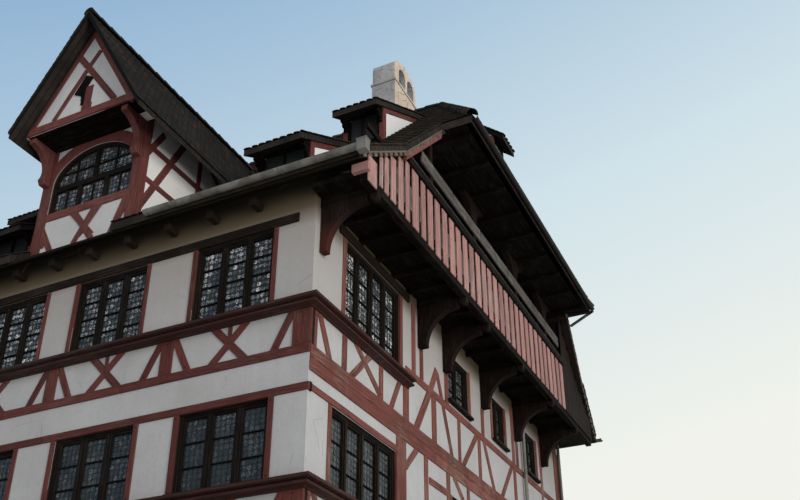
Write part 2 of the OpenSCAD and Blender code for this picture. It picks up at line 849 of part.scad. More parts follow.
module dormer_walls() {
    color(plaster) {
        on_side(0) layer(-dormer_wall_t, 0) difference() {
            intersection() {
                bar(dormer_l, dormer_r, wall_top, big);
                dormer_inside();
            }
            dormer_window_shape(0);
        }
        for (x = [dormer_l, dormer_r]) {
            inner = x < dormer_x ? x : x - dormer_wall_t;
            intersection() {
                along_x(inner, inner + dormer_wall_t) difference() {
                    dormer_side(x, roof_v);
                    bar(-half_d - 10, -half_d + dormer_wall_t, 0, big);
                }
                along_y(-big, big) dormer_inside();
            }
        }
    }
}

module dormer_frame() {
    sill_h = 185;
    arch_w = 300;
    u0 = window_x - window_w / 2;
    u1 = window_x + window_w / 2;
    color(red) {
        on_side(0) layer(0, timber_proud) difference() {
            union() {
                bar(dormer_l, u0, dormer_foot, dormer_foot_z);
                bar(u1, dormer_r, dormer_foot, dormer_foot_z);
                bar(dormer_l, dormer_r, window_foot - sill_h, window_foot);
                intersection() {
                    dormer_window_shape(arch_w);
                    bar(dormer_l, dormer_r, window_foot, dormer_foot_z);
                }
                intersection() {
                    bar(dormer_l, dormer_r, dormer_foot, window_foot);
                    union() {
                        strut([-190, 13650], [740, 12590], brace_w);
                        strut([780, 13650], [50, 12600], brace_w);
                        strut([-1020, 13600], [-790, 12600], 130);
                        strut([1590, 13580], [1110, 12620], 140);
                    }
                }
            }
            dormer_window_shape(0);
        }
        // Timbers of the side walls
        for (x = [dormer_l, dormer_r]) {
            face = x < dormer_x ? x - timber_proud : x;
            intersection() {
                along_x(face, face + timber_proud) intersection() {
                    dormer_side(x, -10);
                    union() {
                        bar(-half_d, -half_d + 220, 12000, big);
                        bar(-half_d, -4000, dormer_under(x) - 170, big);
                        bar(-half_d, -5600, 14870, 15020);
                        bar(-half_d, -5600, 13985, 14130);
                        bar(-5700, -5560, 12000, big);
                        strut([-7440, 13300], [-6200, 15900], 170);
                        strut([-7420, 14750], [-6900, 15700], brace_w);
                        strut([-4750, 15430], [-5200, 15700], 110);
                    }
                }
                along_y(-big, big) dormer_inside();
            }
        }
    }
}

// Gable of the dormer, standing out on its brackets
gable_y = -half_d - dormer_out;
module dormer_gable() {
    color(red) {
        along_y(gable_y, gable_y + 100) difference() {
            dormer_inside(dormer_foot_z + 200);
            polygon([[250, 16050], [250, 16450], [380, 16820], [380, 16050]]);
        }
        along_y(gable_y, -half_d - timber_proud) intersection() {
            dormer_inside();
            bar(-half_l, half_l, dormer_foot_z, dormer_foot_z + 200);
        }
    }
}

module dormer_roof_profile() {
    u0 = dormer_mid - reach_l;
    u1 = dormer_mid + reach_r;
    polygon([
        [u0, dormer_under(u0)], [u0, dormer_under(u0) + dormer_v], [dormer_mid, dormer_ridge_z],
        [u1, dormer_under(u1) + dormer_v], [u1, dormer_under(u1)], [dormer_mid, dormer_under(dormer_mid)]
    ]);
}

// Solid below the surface of the front slope
module below_slope() {
    along_x(-big, big) polygon([
        [-eave_y - 100, 0], [-eave_y - 100, roof_z(eave_y + 100)], [-break_y, break_z],
        [0, ridge_z], [big, ridge_z], [big, 0]
    ]);
}

module dormer_roof() {
    color(tile) difference() {
        along_y(gable_y - dormer_verge, 0) dormer_roof_profile();
        below_slope();
    }
}

module dormer_brackets() {
    color(red) for (x = [dormer_l - 20, dormer_r - 160])
        translate([x, -half_d - timber_proud, dormer_foot_z]) rotate([90, 0, -90]) translate([0, 0, -180])
            linear_extrude(180) knee(640, 1000, 150);
}

module dormer_window() {
    third = window_w / 3;
    color(dark_wood) on_side(0) layer(-120, -50) difference() {
        dormer_window_shape(0);
        difference() {
            dormer_window_shape(-70);
            for (x = [-third / 2, third / 2]) bar(window_x + x - 45, window_x + x + 45, window_foot, 14400);
            bar(window_x - 45, window_x + 45, 14400, 16000);
            bar(dormer_l, dormer_r, 14330, 14470);
        }
    }
    color(glass_tint) on_side(0) layer(-132, -120) dormer_window_shape(0);
}

// Small shed dormers: middle, width, wall line, roof height over the wall line
front_dormers = [
    [4490, 1350, 6200, 1015], [-3560, 1350, 6200, 1015],
    [5540, 1050, 4500, 1160], [-4910, 1050, 4500, 1160]
];
shed_slope = 0.577;
shed_out = 500;
shed_v = 150;
cheek_t = 90;

function shed_top(d, y) = roof_z(d[2]) + d[3] + (d[2] - abs(y)) * shed_slope;
function shed_meet(d, drop = 0) =
    (roof_z(d[2]) + d[3] - drop + d[2] * shed_slope - ridge_z) / (shed_slope - main_slope);

module shed_hole(d) {
    box(d[0] - d[1] / 2 + cheek_t, d[0] + d[1] / 2 - cheek_t, -d[2] + cheek_t, -shed_meet(d) - 300, 0, big);
}

module shed_body(d) {
    meet = shed_meet(d, shed_v);
    for (x = [d[0] - d[1] / 2, d[0] + d[1] / 2 - cheek_t]) along_x(x, x + cheek_t) polygon([
        [-d[2], roof_z(d[2])], [-d[2], shed_top(d, d[2]) - shed_v], [-meet, roof_z(meet)]
    ]);
    difference() {
        on_shed_front(d, cheek_t) difference() {
            bar(-d[1] / 2 + cheek_t, d[1] / 2 - cheek_t, 0, d[3] - shed_v);
            shed_light(d);
        }
        below_slope();
    }
}

module shed_light(d) {
    edge = d[1] / 2 - cheek_t - 80;
    bar(-edge, edge, 180, d[3] - shed_v - 90);
}

module on_shed_front(d, depth) {
    translate([d[0], -d[2] + depth, roof_z(d[2])]) rotate([90, 0, 0]) linear_extrude(depth) children();
}

module shed_roof(d) {
    difference() {
        along_x(d[0] - d[1] / 2 - 60, d[0] + d[1] / 2 + 60) polygon([
            [-d[2] - shed_out, shed_top(d, d[2] + shed_out)],
            [-shed_meet(d), shed_top(d, shed_meet(d))],
            [-shed_meet(d), shed_top(d, shed_meet(d)) - shed_v],
            [-d[2] - shed_out, shed_top(d, d[2] + shed_out) - shed_v]
        ]);
        below_slope();
    }
}

// Shed dormer on the hip over the gallery
perch_x = 7400;
perch_half = 400;
perch_eave = 7720;
perch_eave_z = 18250;
perch_slope = 0.85;
function perch_top(x) = perch_eave_z + (perch_eave - x) * perch_slope;
function perch_meet(drop = 0) =
    (hip_eave_z + hip_eave_x * hip_slope - perch_eave_z + drop - perch_eave * perch_slope)
    / (hip_slope - perch_slope);

// Solid below the surface of the hip over the gallery
module below_hip() {
    along_y(-big, big) polygon([
        [hip_eave_x, 0], [hip_eave_x, hip_eave_z], [hip_eave_x - hip_run, ridge_z], [0, ridge_z], [0, 0]
    ]);
}

module perch_hole() {
    box(perch_meet() + 300, perch_x - cheek_t, -perch_half + cheek_t, perch_half - cheek_t, 0, big);
}

module perch_front(x0, x1, edge) {
    side = perch_half - edge;
    box(x0, x1, -side, side, hip_z(perch_x) + edge, perch_top(perch_x) - shed_v - edge);
}

module perch_body() {
    meet = perch_meet(shed_v);
    for (y = [-perch_half, perch_half - cheek_t]) along_y(y, y + cheek_t) polygon([
        [perch_x, hip_z(perch_x)], [perch_x, perch_top(perch_x) - shed_v], [meet, hip_z(meet)]
    ]);
    difference() {
        box(perch_x - cheek_t, perch_x, -perch_half + cheek_t, perch_half - cheek_t,
            hip_z(perch_x), perch_top(perch_x) - shed_v);
        perch_front(perch_x - cheek_t - 10, perch_x + 10, cheek_t + 80);
        below_hip();
    }
}

module perch_roof() {
    meet = perch_meet();
    difference() {
        along_y(-perch_half - 50, perch_half + 50) polygon([
            [perch_eave, perch_eave_z], [meet, perch_top(meet)],
            [meet, perch_top(meet) - shed_v], [perch_eave, perch_eave_z - shed_v]
        ]);
        below_hip();
    }
}

module small_dormers() {
    color(red) {
        for (s = [0, 1]) mirror([0, s, 0]) for (d = front_dormers) shed_body(d);
        perch_body();
    }
}

module small_dormer_roofs() {
    color(tile) {
        for (s = [0, 1]) mirror([0, s, 0]) for (d = front_dormers) shed_roof(d);
        perch_roof();
    }
}

module small_dormer_windows() {
    color(glass_tint) {
        for (s = [0, 1]) mirror([0, s, 0]) for (d = front_dormers)
            translate([0, 40, 0]) on_shed_front(d, 30) shed_light(d);
        perch_front(perch_x - 60, perch_x - 30, cheek_t + 80);
    }
}

stone_front();
stone_right();
stone_back();
stone_left();
portal();
door();
wall_front();
wall_right();
wall_back();
wall_left();
attic_gables();
floors();
frame_front();
frame_right();
frame_back();
frame_left();
casements_front();
casements_right();
casements_back();
casements_left();
glass_front();
glass_right();
glass_back();
glass_left();
sills_lower();
sills_upper();
gallery_floor();
gallery_brackets();
gallery_parapet();
gallery_rails();
gallery_posts();
gallery_ceiling();
roof_front();
roof_back();
half_hips();
ridge_tiles();
verge_timbers();
eaves_boards();
beam_ends();
gutters();
downpipes();
chimney();
dormer_walls();
dormer_frame();
dormer_gable();
dormer_roof();
dormer_brackets();
dormer_window();
small_dormers();
small_dormer_roofs();
small_dormer_windows();
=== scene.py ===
import math
import random
from contextlib import contextmanager

import bpy
import numpy as np
from mathutils import Matrix, Vector


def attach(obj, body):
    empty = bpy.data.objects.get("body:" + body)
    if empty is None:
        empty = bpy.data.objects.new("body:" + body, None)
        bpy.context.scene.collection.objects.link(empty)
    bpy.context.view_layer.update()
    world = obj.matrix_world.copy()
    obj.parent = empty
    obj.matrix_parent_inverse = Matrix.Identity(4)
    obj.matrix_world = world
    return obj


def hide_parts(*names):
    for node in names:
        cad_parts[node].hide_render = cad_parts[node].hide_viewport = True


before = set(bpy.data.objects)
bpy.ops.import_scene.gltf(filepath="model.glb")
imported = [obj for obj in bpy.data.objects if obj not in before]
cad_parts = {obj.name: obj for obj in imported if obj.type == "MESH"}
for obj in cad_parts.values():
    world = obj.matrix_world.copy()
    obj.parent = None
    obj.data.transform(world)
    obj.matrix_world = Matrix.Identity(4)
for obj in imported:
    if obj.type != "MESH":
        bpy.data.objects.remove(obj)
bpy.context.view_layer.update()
bpy.ops.object.select_all(action="DESELECT")
random.seed(7)
np.random.seed(7)

# Camera: eye height before the front, turned towards the gallery corner and tilted up. The shift
# keeps the upper storeys in the frame.
bpy.ops.object.camera_add(location=(13.855, -19.98, 1.58))
camera = bpy.context.object
camera.data.lens, camera.data.shift_y, camera.data.clip_end = 41.98, 0.1, 500
pan, tilt, roll = math.radians(25.454), math.radians(27.618), math.radians(-0.202)
turned_up = Matrix.Rotation(pan, 4, "Z") @ Matrix.Rotation(math.pi / 2 + tilt, 4, "X")
camera.rotation_euler = (turned_up @ Matrix.Rotation(roll, 4, "Z")).to_euler()
bpy.context.scene.camera = camera


# Studio: a pale floor, even light from all round, one wide soft lamp from the front right, a fill
# lamp towards the gable, and a pale blue backdrop that fades to white at the floor and also shows
# in glass and metal. A node is added with its inputs set or linked, and gives its outputs.
def node(tree, kind, inputs=None, **settings):
    item = tree.nodes.new("ShaderNode" + kind)
    for key, value in settings.items():
        setattr(item, key, value)
    for key, value in (inputs or {}).items():
        socket = item.inputs[key]
        if isinstance(value, bpy.types.NodeSocket):
            tree.links.new(value, socket)
        else:
            socket.default_value = (*value, 1) if socket.type == "RGBA" else value
    return item.outputs


def sums(tree, operation, first, second=0.0):
    return node(tree, "Math", {0: first, 1: second}, operation=operation)[0]


bpy.ops.mesh.primitive_circle_add(vertices=96, radius=90, fill_type="NGON")
floor = bpy.context.object
floor.name = "studio_floor"
pale = bpy.data.materials.new("pale_floor")
pale.use_nodes = True
pale.node_tree.nodes["Principled BSDF"].inputs["Base Color"].default_value = (0.72, 0.72, 0.71, 1)
pale.node_tree.nodes["Principled BSDF"].inputs["Roughness"].default_value = 0.9
floor.data.materials.append(pale)
world = bpy.data.worlds.new("studio")
bpy.context.scene.world = world
world.use_nodes = True
sky = world.node_tree
even = sky.nodes["Background"]
even.inputs["Color"].default_value = (0.93, 0.96, 1, 1)
even.inputs["Strength"].default_value = 0.56
seen_way, bluest_way = node(sky, "TexCoord")["Generated"], (-0.186, -0.349, 0.963)
height = node(sky, "VectorMath", {0: seen_way, 1: bluest_way}, operation="DOT_PRODUCT")
fade = node(sky, "MapRange", {"Value": height["Value"], "From Min": 0.02, "From Max": 0.62})
backdrop = node(sky, "ValToRGB", {"Fac": fade["Result"]})
stops = backdrop[0].node.color_ramp.elements
stops.new(0.5)
for stop, colour in zip(stops, ((0.88, 0.895, 0.835, 1), (0.63, 0.76, 0.82, 1), (0.295, 0.465, 0.66, 1))):
    stop.color = colour
seen = node(sky, "LightPath")
straight = sums(sky, "MAXIMUM", seen["Is Camera Ray"], seen["Is Glossy Ray"])
through = sums(sky, "MAXIMUM", straight, seen["Is Transmission Ray"])
plain = node(sky, "Background", {"Color": backdrop["Color"], "Strength": 1.0})
shown = node(sky, "MixShader", {0: through, 1: even.outputs[0], 2: plain[0]})
sky.links.new(shown[0], sky.nodes["World Output"].inputs["Surface"])
bpy.ops.object.light_add(type="SUN", rotation=(math.radians(79), 0, math.radians(64)))
sun = bpy.context.object.data
sun.energy, sun.angle, sun.color = 1.05, math.radians(25), (1, 0.97, 0.92)
bpy.ops.object.light_add(type="AREA", location=(34, -16, 3))
fill = bpy.context.object
fill.rotation_euler = Vector((-31, 12, 11)).to_track_quat("-Z", "Y").to_euler()
fill.data.energy, fill.data.size, fill.data.spread = 360, 10, math.radians(60)
fill.data.color = (1, 0.97, 0.93)
fill.visible_camera = False
bpy.context.scene.view_settings.view_transform = "Standard"


# Sandstone storeys: squared blocks in level courses, proud of their mortar, with dressed lintels,
# jambs and sills round the windows. The walls behind are the mortar and the depth of the stone.
half_l, half_d, stone_top = 6.225, 7.6, 5.4
walls = {
    "front": (Vector((0, -half_d, 0)), Vector((1, 0, 0)), Vector((0, -1, 0))),
    "right": (Vector((half_l, 0, 0)), Vector((0, 1, 0)), Vector((1, 0, 0))),
    "back": (Vector((0, half_d, 0)), Vector((-1, 0, 0)), Vector((0, 1, 0))),
    "left": (Vector((-half_l, 0, 0)), Vector((0, 1, 0)), Vector((-1, 0, 0))),
}


# A block on a wall between two distances along it, two heights and two depths out of its face
def block(side, u0, u1, v0, v1, inner, outer, lean=0.0):
    origin, across, out = walls[side]
    up = Vector((0, 0, 1))
    long = across * math.cos(lean) + up * math.sin(lean)
    wide = up * math.cos(lean) - across * math.sin(lean)
    if long.cross(wide).dot(out) < 0:
        long = -long
    place = Matrix((long * abs(u1 - u0), wide * (v1 - v0), out * (outer - inner))).transposed().to_4x4()
    place.translation = origin + across * (u0 + u1) / 2 + up * (v0 + v1) / 2 + out * (inner + outer) / 2
    return place


# One mesh of many copies of a modelled piece; tone is a shade for each copy, grain its own length
def lay_copies(pattern, places, name, tones=None):
    source = pattern.data
    points = np.empty(len(source.vertices) * 3)
    source.vertices.foreach_get("co", points)
    points = points.reshape(-1, 3)
    places = np.array([np.array(place) for place in places])
    count, size = len(places), len(points)
    moved = np.einsum("nij,vj->nvi", places[:, :3, :3], points) + places[:, None, :3, 3]
    corners = np.array([v for face in source.polygons for v in face.vertices])
    starts = np.array([face.loop_start for face in source.polygons])
    smooth = np.array([face.use_smooth for face in source.polygons])
    step = np.arange(count)[:, None]
    mesh = bpy.data.meshes.new(name)
    mesh.vertices.add(count * size)
    mesh.vertices.foreach_set("co", moved.ravel())
    mesh.loops.add(count * len(corners))
    mesh.loops.foreach_set("vertex_index", (corners + size * step).ravel())
    mesh.polygons.add(count * len(starts))
    mesh.polygons.foreach_set("loop_start", (starts + len(corners) * step).ravel())
    mesh.polygons.foreach_set("use_smooth", np.tile(smooth, count))
    mesh.update(calc_edges=True)
    if tones is None:
        tones = np.random.uniform(0, 1, count)
    mesh.attributes.new("tone", "FLOAT", "POINT").data.foreach_set("value", np.repeat(tones, size))
    spans = np.linalg.norm(places[:, :3, :3], axis=1)
    order = np.repeat(np.argsort(-spans, axis=1)[:, None, :], size, 1)
    grain = np.take_along_axis(points[None] * spans[:, None, :], order, 2)
    grain += np.random.uniform(0, 20, (count, 1, 3))
    mesh.attributes.new("grain", "FLOAT_VECTOR", "POINT").data.foreach_set("vector", grain.ravel())
    piece = bpy.data.objects.new(name, mesh)
    bpy.context.scene.collection.objects.link(piece)
    bpy.data.objects.remove(pattern)
    return piece


def pick(piece):
    bpy.ops.object.select_all(action="DESELECT")
    piece.select_set(True)
    bpy.context.view_layer.objects.active = piece


@contextmanager
def shaping(piece):
    pick(piece)
    bpy.ops.object.mode_set(mode="EDIT")
    bpy.ops.mesh.select_all(action="SELECT")
    yield
    bpy.ops.object.mode_set(mode="OBJECT")


def cut(spot, way, **rest):
    bpy.ops.mesh.select_all(action="SELECT")
    bpy.ops.mesh.bisect(plane_co=spot, plane_no=way, **rest)


# A modifier of one kind, set and applied
def work(piece, kind, **settings):
    pick(piece)
    tool = piece.modifiers.new(kind.lower(), kind)
    for key, value in settings.items():
        setattr(tool, key, value)
    bpy.ops.object.modifier_apply(modifier=tool.name)


def ease_edges(piece, width, segments=1, angle=35):
    work(piece, "BEVEL", width=width, segments=segments, limit_method="ANGLE",
         angle_limit=math.radians(angle))


# Axe and chisel marks: the surface pushed in and out by a slow noise
hewing = bpy.data.textures.new("axe_marks", "CLOUDS")
hewing.noise_scale, hewing.noise_depth = 0.45, 1


def hew(piece, depth):
    for axis in "XYZ":
        work(piece, "DISPLACE", texture=hewing, texture_coords="GLOBAL", direction=axis, strength=depth)


def sawn_block(cuts=0):
    bpy.ops.object.select_all(action="DESELECT")
    bpy.ops.mesh.primitive_cube_add(size=1)
    with shaping(bpy.context.object):
        for i in range(cuts):
            cut(((i + 1) / (cuts + 1) - 0.5, 0, 0), (1, 0, 0))
    return bpy.context.object


# Gives a piece its finish, hides the node of the construction that it stands for, and hangs it under the root
def settle(piece, material, stands_for=None):
    piece.data.materials.append(material)
    if stands_for:
        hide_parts(stands_for)
    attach(piece, "root")
    return piece


# Blocks laid as one piece, hewn and eased along their edges
def build(name, places, material, cuts=0, axe=0, ease=0, stands_for=None, rounds=1):
    piece = lay_copies(sawn_block(cuts), places, name)
    if axe:
        hew(piece, axe)
    if ease:
        ease_edges(piece, ease, rounds)
    return settle(piece, material, stands_for)


def new_group(name, inputs, outputs):
    group = bpy.data.node_groups.new(name, "ShaderNodeTree")
    socket = {"socket_type": "NodeSocketFloat"}
    for label, value in inputs.items():
        group.interface.new_socket(name=label, in_out="INPUT", **socket).default_value = value
    for label in outputs:
        group.interface.new_socket(name=label, in_out="OUTPUT", **socket)
    return group, group.nodes.new("NodeGroupInput").outputs, group.nodes.new("NodeGroupOutput").inputs


def noise(tree, vector, scale, detail=2.0, rough=0.5, twist=0.0):
    return node(tree, "TexNoise", {
        "Vector": vector, "Scale": scale, "Detail": detail, "Roughness": rough, "Distortion": twist})[0]


def scaled(tree, value, low, high, out_low=0.0, out_high=1.0):
    return node(tree, "MapRange", {
        "Value": value, "From Min": low, "From Max": high, "To Min": out_low, "To Max": out_high})["Result"]


def times(tree, first, second):
    return sums(tree, "MULTIPLY", first, second)


def mixed(tree, mask, low, high, blend="MIX"):
    return node(tree, "Mix", {0: mask, 6: low, 7: high}, data_type="RGBA", blend_type=blend)[2]


def own_tone(tree):
    return node(tree, "Attribute", attribute_name="tone")["Fac"]


def object_space(tree):
    return node(tree, "TexCoord")["Object"]


# Weather: broad stains, fine speckle and streaks that run down, all in the building's own space
weather, given, result = new_group("weather", {"Scale": 0.8}, ("Stains", "Speckle", "Streaks"))
space = object_space(weather)
stains = noise(weather, space, given["Scale"], 6.0, 0.62)
speckle = noise(weather, space, times(weather, given["Scale"], 22.0), 4.0, 0.7)
drawn = node(weather, "Mapping", {"Vector": space, "Scale": (4.5, 4.5, 0.3)})[0]
streaks = noise(weather, drawn, 1.0, 4.0, 0.6)
for label, source, low, high in (
        ("Stains", stains, 0.36, 0.66), ("Speckle", speckle, 0.3, 0.7), ("Streaks", streaks, 0.47, 0.72)):
    weather.links.new(scaled(weather, source, low, high), result[label])


def new_finish(name, scale=None):
    material = bpy.data.materials.new(name)
    material.use_nodes = True
    tree = material.node_tree
    tree.nodes["Principled BSDF"].inputs["Specular IOR Level"].default_value = 0.15
    return material, tree, scale and node(tree, "Group", node_tree=weather, inputs={"Scale": scale})


# Links a finish's colour, its roughness and the height that its bump is made of
def surface(tree, colour, rough, relief=None, depth=0.0, strength=0.6):
    shader = tree.nodes["Principled BSDF"].inputs
    tree.links.new(colour, shader["Base Color"])
    tree.links.new(rough, shader["Roughness"])
    if relief:
        bump = node(tree, "Bump", {"Height": relief, "Distance": depth, "Strength": strength})
        tree.links.new(bump["Normal"], shader["Normal"])
    return shader


# Stone: a dark and a light bed colour, speckled, stained from above and rough all over
def stone_finish(name, dark, light, toned=True):
    material, tree, marks = new_finish(name, 0.9)
    bed = mixed(tree, own_tone(tree) if toned else marks["Stains"], dark, light)
    grains = mixed(tree, scaled(tree, marks["Speckle"], 0, 1, 0, 0.5), bed, light, "MULTIPLY")
    colour = mixed(tree, times(tree, marks["Stains"], marks["Streaks"]), grains, (0.07, 0.06, 0.05))
    surface(tree, colour, scaled(tree, marks["Speckle"], 0, 1, 0.78, 0.95), marks["Speckle"], 0.006)
    return material


def finish_nodes(material, *names):
    for name in names:
        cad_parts[name].data.materials.clear()
        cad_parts[name].data.materials.append(material)


sandstone = stone_finish("hewn_sandstone", (0.2, 0.135, 0.085), (0.4, 0.29, 0.2))
mortar = stone_finish("lime_mortar", (0.16, 0.13, 0.1), (0.28, 0.24, 0.19), toned=False)


# Windows of a stone wall: middle, sill, width, height, lights across and rows of panes in each
def stone_rows(upper, lower):
    return [(u, 3.5, 1.3, 1.3, 2, 2) for u in upper] + [(u, 1.1, 1.1, 1.2, 2, 2) for u in lower]


stone_windows = {
    "front": stone_rows((-4.4, -1.45, 1.45, 4.4), (-4.4, 1.45, 4.4)),
    "right": stone_rows((-5.2, -1.7, 1.9, 5.4), (-5.2, -1.7, 1.9, 5.4)),
    "back": stone_rows((4.4, 1.45, -1.45, -4.4), (4.4, -1.45, -4.4, 1.45)),
    "left": stone_rows((5.2, 1.7, -1.9, -5.4), (5.2, 1.7, -1.9, -5.4)),
}
course, joint, stone_proud, stone_in = 0.36, 0.012, 0.014, -0.3
jamb_w, lintel_h, ledge_h, bed = 0.15, 0.2, 0.14, 0.01
arch_boxes = [(-2.25, -0.65, 0, 1.65), (-2.17, -0.73, 1.65, 2.1), (-2.005, -0.895, 2.1, 2.39)]


# What is left of a rectangle outside a hole
def outside(piece, hole):
    u0, u1, v0, v1 = piece
    h0, h1, w0, w1 = max(hole[0], u0), min(hole[1], u1), max(hole[2], v0), min(hole[3], v1)
    if h0 >= h1 or w0 >= w1:
        return [piece]
    parts = [(u0, h0, v0, v1), (h1, u1, v0, v1), (h0, h1, v0, w0), (h0, h1, w1, v1)]
    return [p for p in parts if p[1] - p[0] > 0.04 and p[3] - p[2] > 0.04]


for side, windows in stone_windows.items():
    reach = half_l + stone_proud if side in ("front", "back") else half_d
    holes = [(u - w / 2 - jamb_w - bed, u + w / 2 + jamb_w + bed, v - ledge_h - bed, v + h + lintel_h + bed)
             for u, v, w, h, *_ in windows]
    holes += arch_boxes if side == "front" else []
    blocks = []
    for row in range(round(stone_top / course)):
        u = -reach - random.uniform(0, 0.4)
        while u < reach:
            end = u + random.uniform(0.42, 0.82)
            pieces = [(max(u, -reach), min(end - joint, reach), row * course, (row + 1) * course - joint)]
            for hole in holes:
                pieces = [part for piece in pieces for part in outside(piece, hole)]
            blocks += [block(side, *p, -0.02, stone_proud + random.uniform(-0.004, 0.004)) for p in pieces]
            u = end
    for u, v, w, h, *_ in windows:
        u0, u1, jamb_cut = u - w / 2 - jamb_w, u + w / 2, v + h * 0.55
        blocks.append(block(side, u0, u1 + jamb_w, v + h, v + h + lintel_h, stone_in, 0.03))
        blocks.append(block(side, u0, u1 + jamb_w, v - ledge_h, v, stone_in, 0.06))
        for edge in (u0, u1):
            blocks.append(block(side, edge, edge + jamb_w, v, jamb_cut, stone_in, 0.026))
            blocks.append(block(side, edge, edge + jamb_w, jamb_cut + 0.006, v + h, stone_in, 0.028))
    build("sandstone_blocks_" + side, blocks, sandstone, ease=0.012)
finish_nodes(mortar, "stone_front", "stone_right", "stone_back", "stone_left")


# Portal: a round arch of cut sandstone round the house door, jamb stones below and nine wedge
# stones above them, each with a chamfered edge, standing out of the wall.
portal_x, portal_foot, arch_r, arch_out, portal_proud = -1.45, 1.65, 0.7, 0.93, 0.09
portal_jamb, jamb_stone, wedge_count, wedge_gap = 0.815, 0.41, 9, 0.006
jambs = lay_copies(sawn_block(), [
    block("front", portal_x + s * portal_jamb - 0.115, portal_x + s * portal_jamb + 0.115,
          i * jamb_stone, i * jamb_stone + 0.405, stone_in, portal_proud)
    for s in (-1, 1) for i in range(4)], "portal_surround")
wedges = []
for i in range(wedge_count):
    bpy.ops.mesh.primitive_cube_add(size=1)
    wedge = bpy.context.object
    with shaping(wedge):
        bpy.ops.mesh.subdivide(number_cuts=2)
    for vertex in wedge.data.vertices:
        x, y, z = vertex.co
        reach = arch_r + (arch_out - arch_r) * (z + 0.5)
        swing = math.pi * (i + 0.5 + x * (1 - wedge_gap * wedge_count / reach)) / wedge_count
        vertex.co = (portal_x - math.cos(swing) * reach, -half_d - portal_proud + (y + 0.5) * 0.39,
                     portal_foot + math.sin(swing) * reach)
    tone = wedge.data.attributes.new("tone", "FLOAT", "POINT")
    tone.data.foreach_set("value", [random.random()] * len(wedge.data.vertices))
    wedges.append(wedge)
pick(jambs)
for wedge in wedges:
    wedge.select_set(True)
bpy.ops.object.join()
ease_edges(jambs, 0.012)
settle(jambs, sandstone, "portal")


# Wood: paint or bare timber over a grain that runs along each piece, with checks and worn patches
wood_grain, given, result = new_group("wood_grain", {"Fineness": 1.0}, ("Fibre", "Checks"))
lay = node(wood_grain, "Attribute", attribute_name="grain")["Vector"]
thin = node(wood_grain, "Mapping", {"Vector": lay, "Scale": (2.2, 48, 48)})[0]
wide = node(wood_grain, "Mapping", {"Vector": lay, "Scale": (0.55, 13, 13)})[0]
fibre = noise(wood_grain, thin, given[0], 4.0, 0.65)
split = sums(wood_grain, "SUBTRACT", noise(wood_grain, wide, given[0], 3.0), 0.5)
near = sums(wood_grain, "ABSOLUTE", split)
wood_grain.links.new(scaled(wood_grain, fibre, 0.3, 0.7), result["Fibre"])
wood_grain.links.new(scaled(wood_grain, near, 0.0, 0.022, 1, 0), result["Checks"])


def wood_finish(name, paint, bare, wear, rough=0.75, cracks=0.7, stain=(0.03, 0.022, 0.018)):
    material, tree, marks = new_finish(name, 0.7)
    grain = node(tree, "Group", node_tree=wood_grain)
    coat = mixed(tree, grain["Fibre"], [c * 0.72 for c in paint], [min(1, c * 1.3) for c in paint])
    piece_tone = scaled(tree, own_tone(tree), 0, 1, 0.78, 1.2)
    shade = node(tree, "VectorMath", {0: coat, "Scale": piece_tone}, operation="SCALE")[0]
    worn = times(tree, scaled(tree, times(tree, grain["Fibre"], marks["Stains"]), 0.28, 0.62), wear)
    run = times(tree, times(tree, marks["Streaks"], marks["Stains"]), 0.5)
    colour = mixed(tree, run, mixed(tree, worn, shade, bare), stain)
    colour = mixed(tree, times(tree, grain["Checks"], cracks), colour, stain)
    relief = sums(tree, "SUBTRACT", times(tree, grain["Fibre"], 0.35), grain["Checks"])
    sheen = scaled(tree, grain["Fibre"], 0, 1, rough + 0.08, rough - 0.08)
    shader = surface(tree, colour, sheen, relief, 0.004)
    shader["Specular IOR Level"].default_value = 0.05 if max(paint) < 0.05 else 0.15
    return material


# Writes the grain of a piece that isn't laid from copies: along names its long axis
def lay_grain(piece, along):
    mesh = piece.data
    points = np.empty(len(mesh.vertices) * 3)
    mesh.vertices.foreach_get("co", points)
    grain = np.roll(points.reshape(-1, 3), -"xyz".index(along), axis=1)
    mesh.attributes.new("grain", "FLOAT_VECTOR", "POINT").data.foreach_set("vector", grain.ravel())
    mesh.attributes.new("tone", "FLOAT", "POINT").data.foreach_set("value", [0.5] * len(mesh.vertices))


# House door: upright oak planks in the arch, held by two long iron strap hinges with nails, and a
# ring handle. It is shut and doesn't move.
plank_w, plank_gap, strap_feet = 0.2, 0.004, (0.45, 1.6)
plank_wood = wood_finish("oiled_oak", (0.075, 0.045, 0.028), (0.16, 0.12, 0.09), 0.5, rough=0.6)
planks = []
for i in range(7):
    left = portal_x - arch_r + i * plank_w
    far = max(abs(left - portal_x), abs(left + plank_w - portal_x))
    top = portal_foot + math.sqrt(max(arch_r ** 2 - min(far, arch_r - 0.02) ** 2, 0)) + 0.01
    planks.append(block("front", left + plank_gap, left + plank_w - plank_gap, 0.01, min(top + 0.1, 2.34),
                        stone_in, -0.22 + random.uniform(-0.003, 0.003)))
build("door_planks", planks, plank_wood, ease=0.008, stands_for="door")
iron, tree, marks = new_finish("forged_iron", 5.0)
shader = surface(tree, mixed(tree, marks["Stains"], (0.02, 0.02, 0.022), (0.09, 0.05, 0.03)),
                 scaled(tree, marks["Speckle"], 0, 1, 0.45, 0.75), marks["Speckle"], 0.002)
shader["Metallic"].default_value = 0.6
straps = [block("front", portal_x - 0.66, portal_x + 0.35, v, v + 0.05, -0.222, -0.208) for v in strap_feet]
straps += [block("front", u, u + 0.025, v + 0.0125, v + 0.0375, -0.21, -0.2)
           for v in strap_feet for u in [portal_x - 0.6 + i * 0.15 for i in range(7)]]
straps.append(block("front", portal_x + 0.44, portal_x + 0.54, 1.0, 1.18, -0.222, -0.212))
hinges = lay_copies(sawn_block(), straps, "door_hinges")
ease_edges(hinges, 0.003)
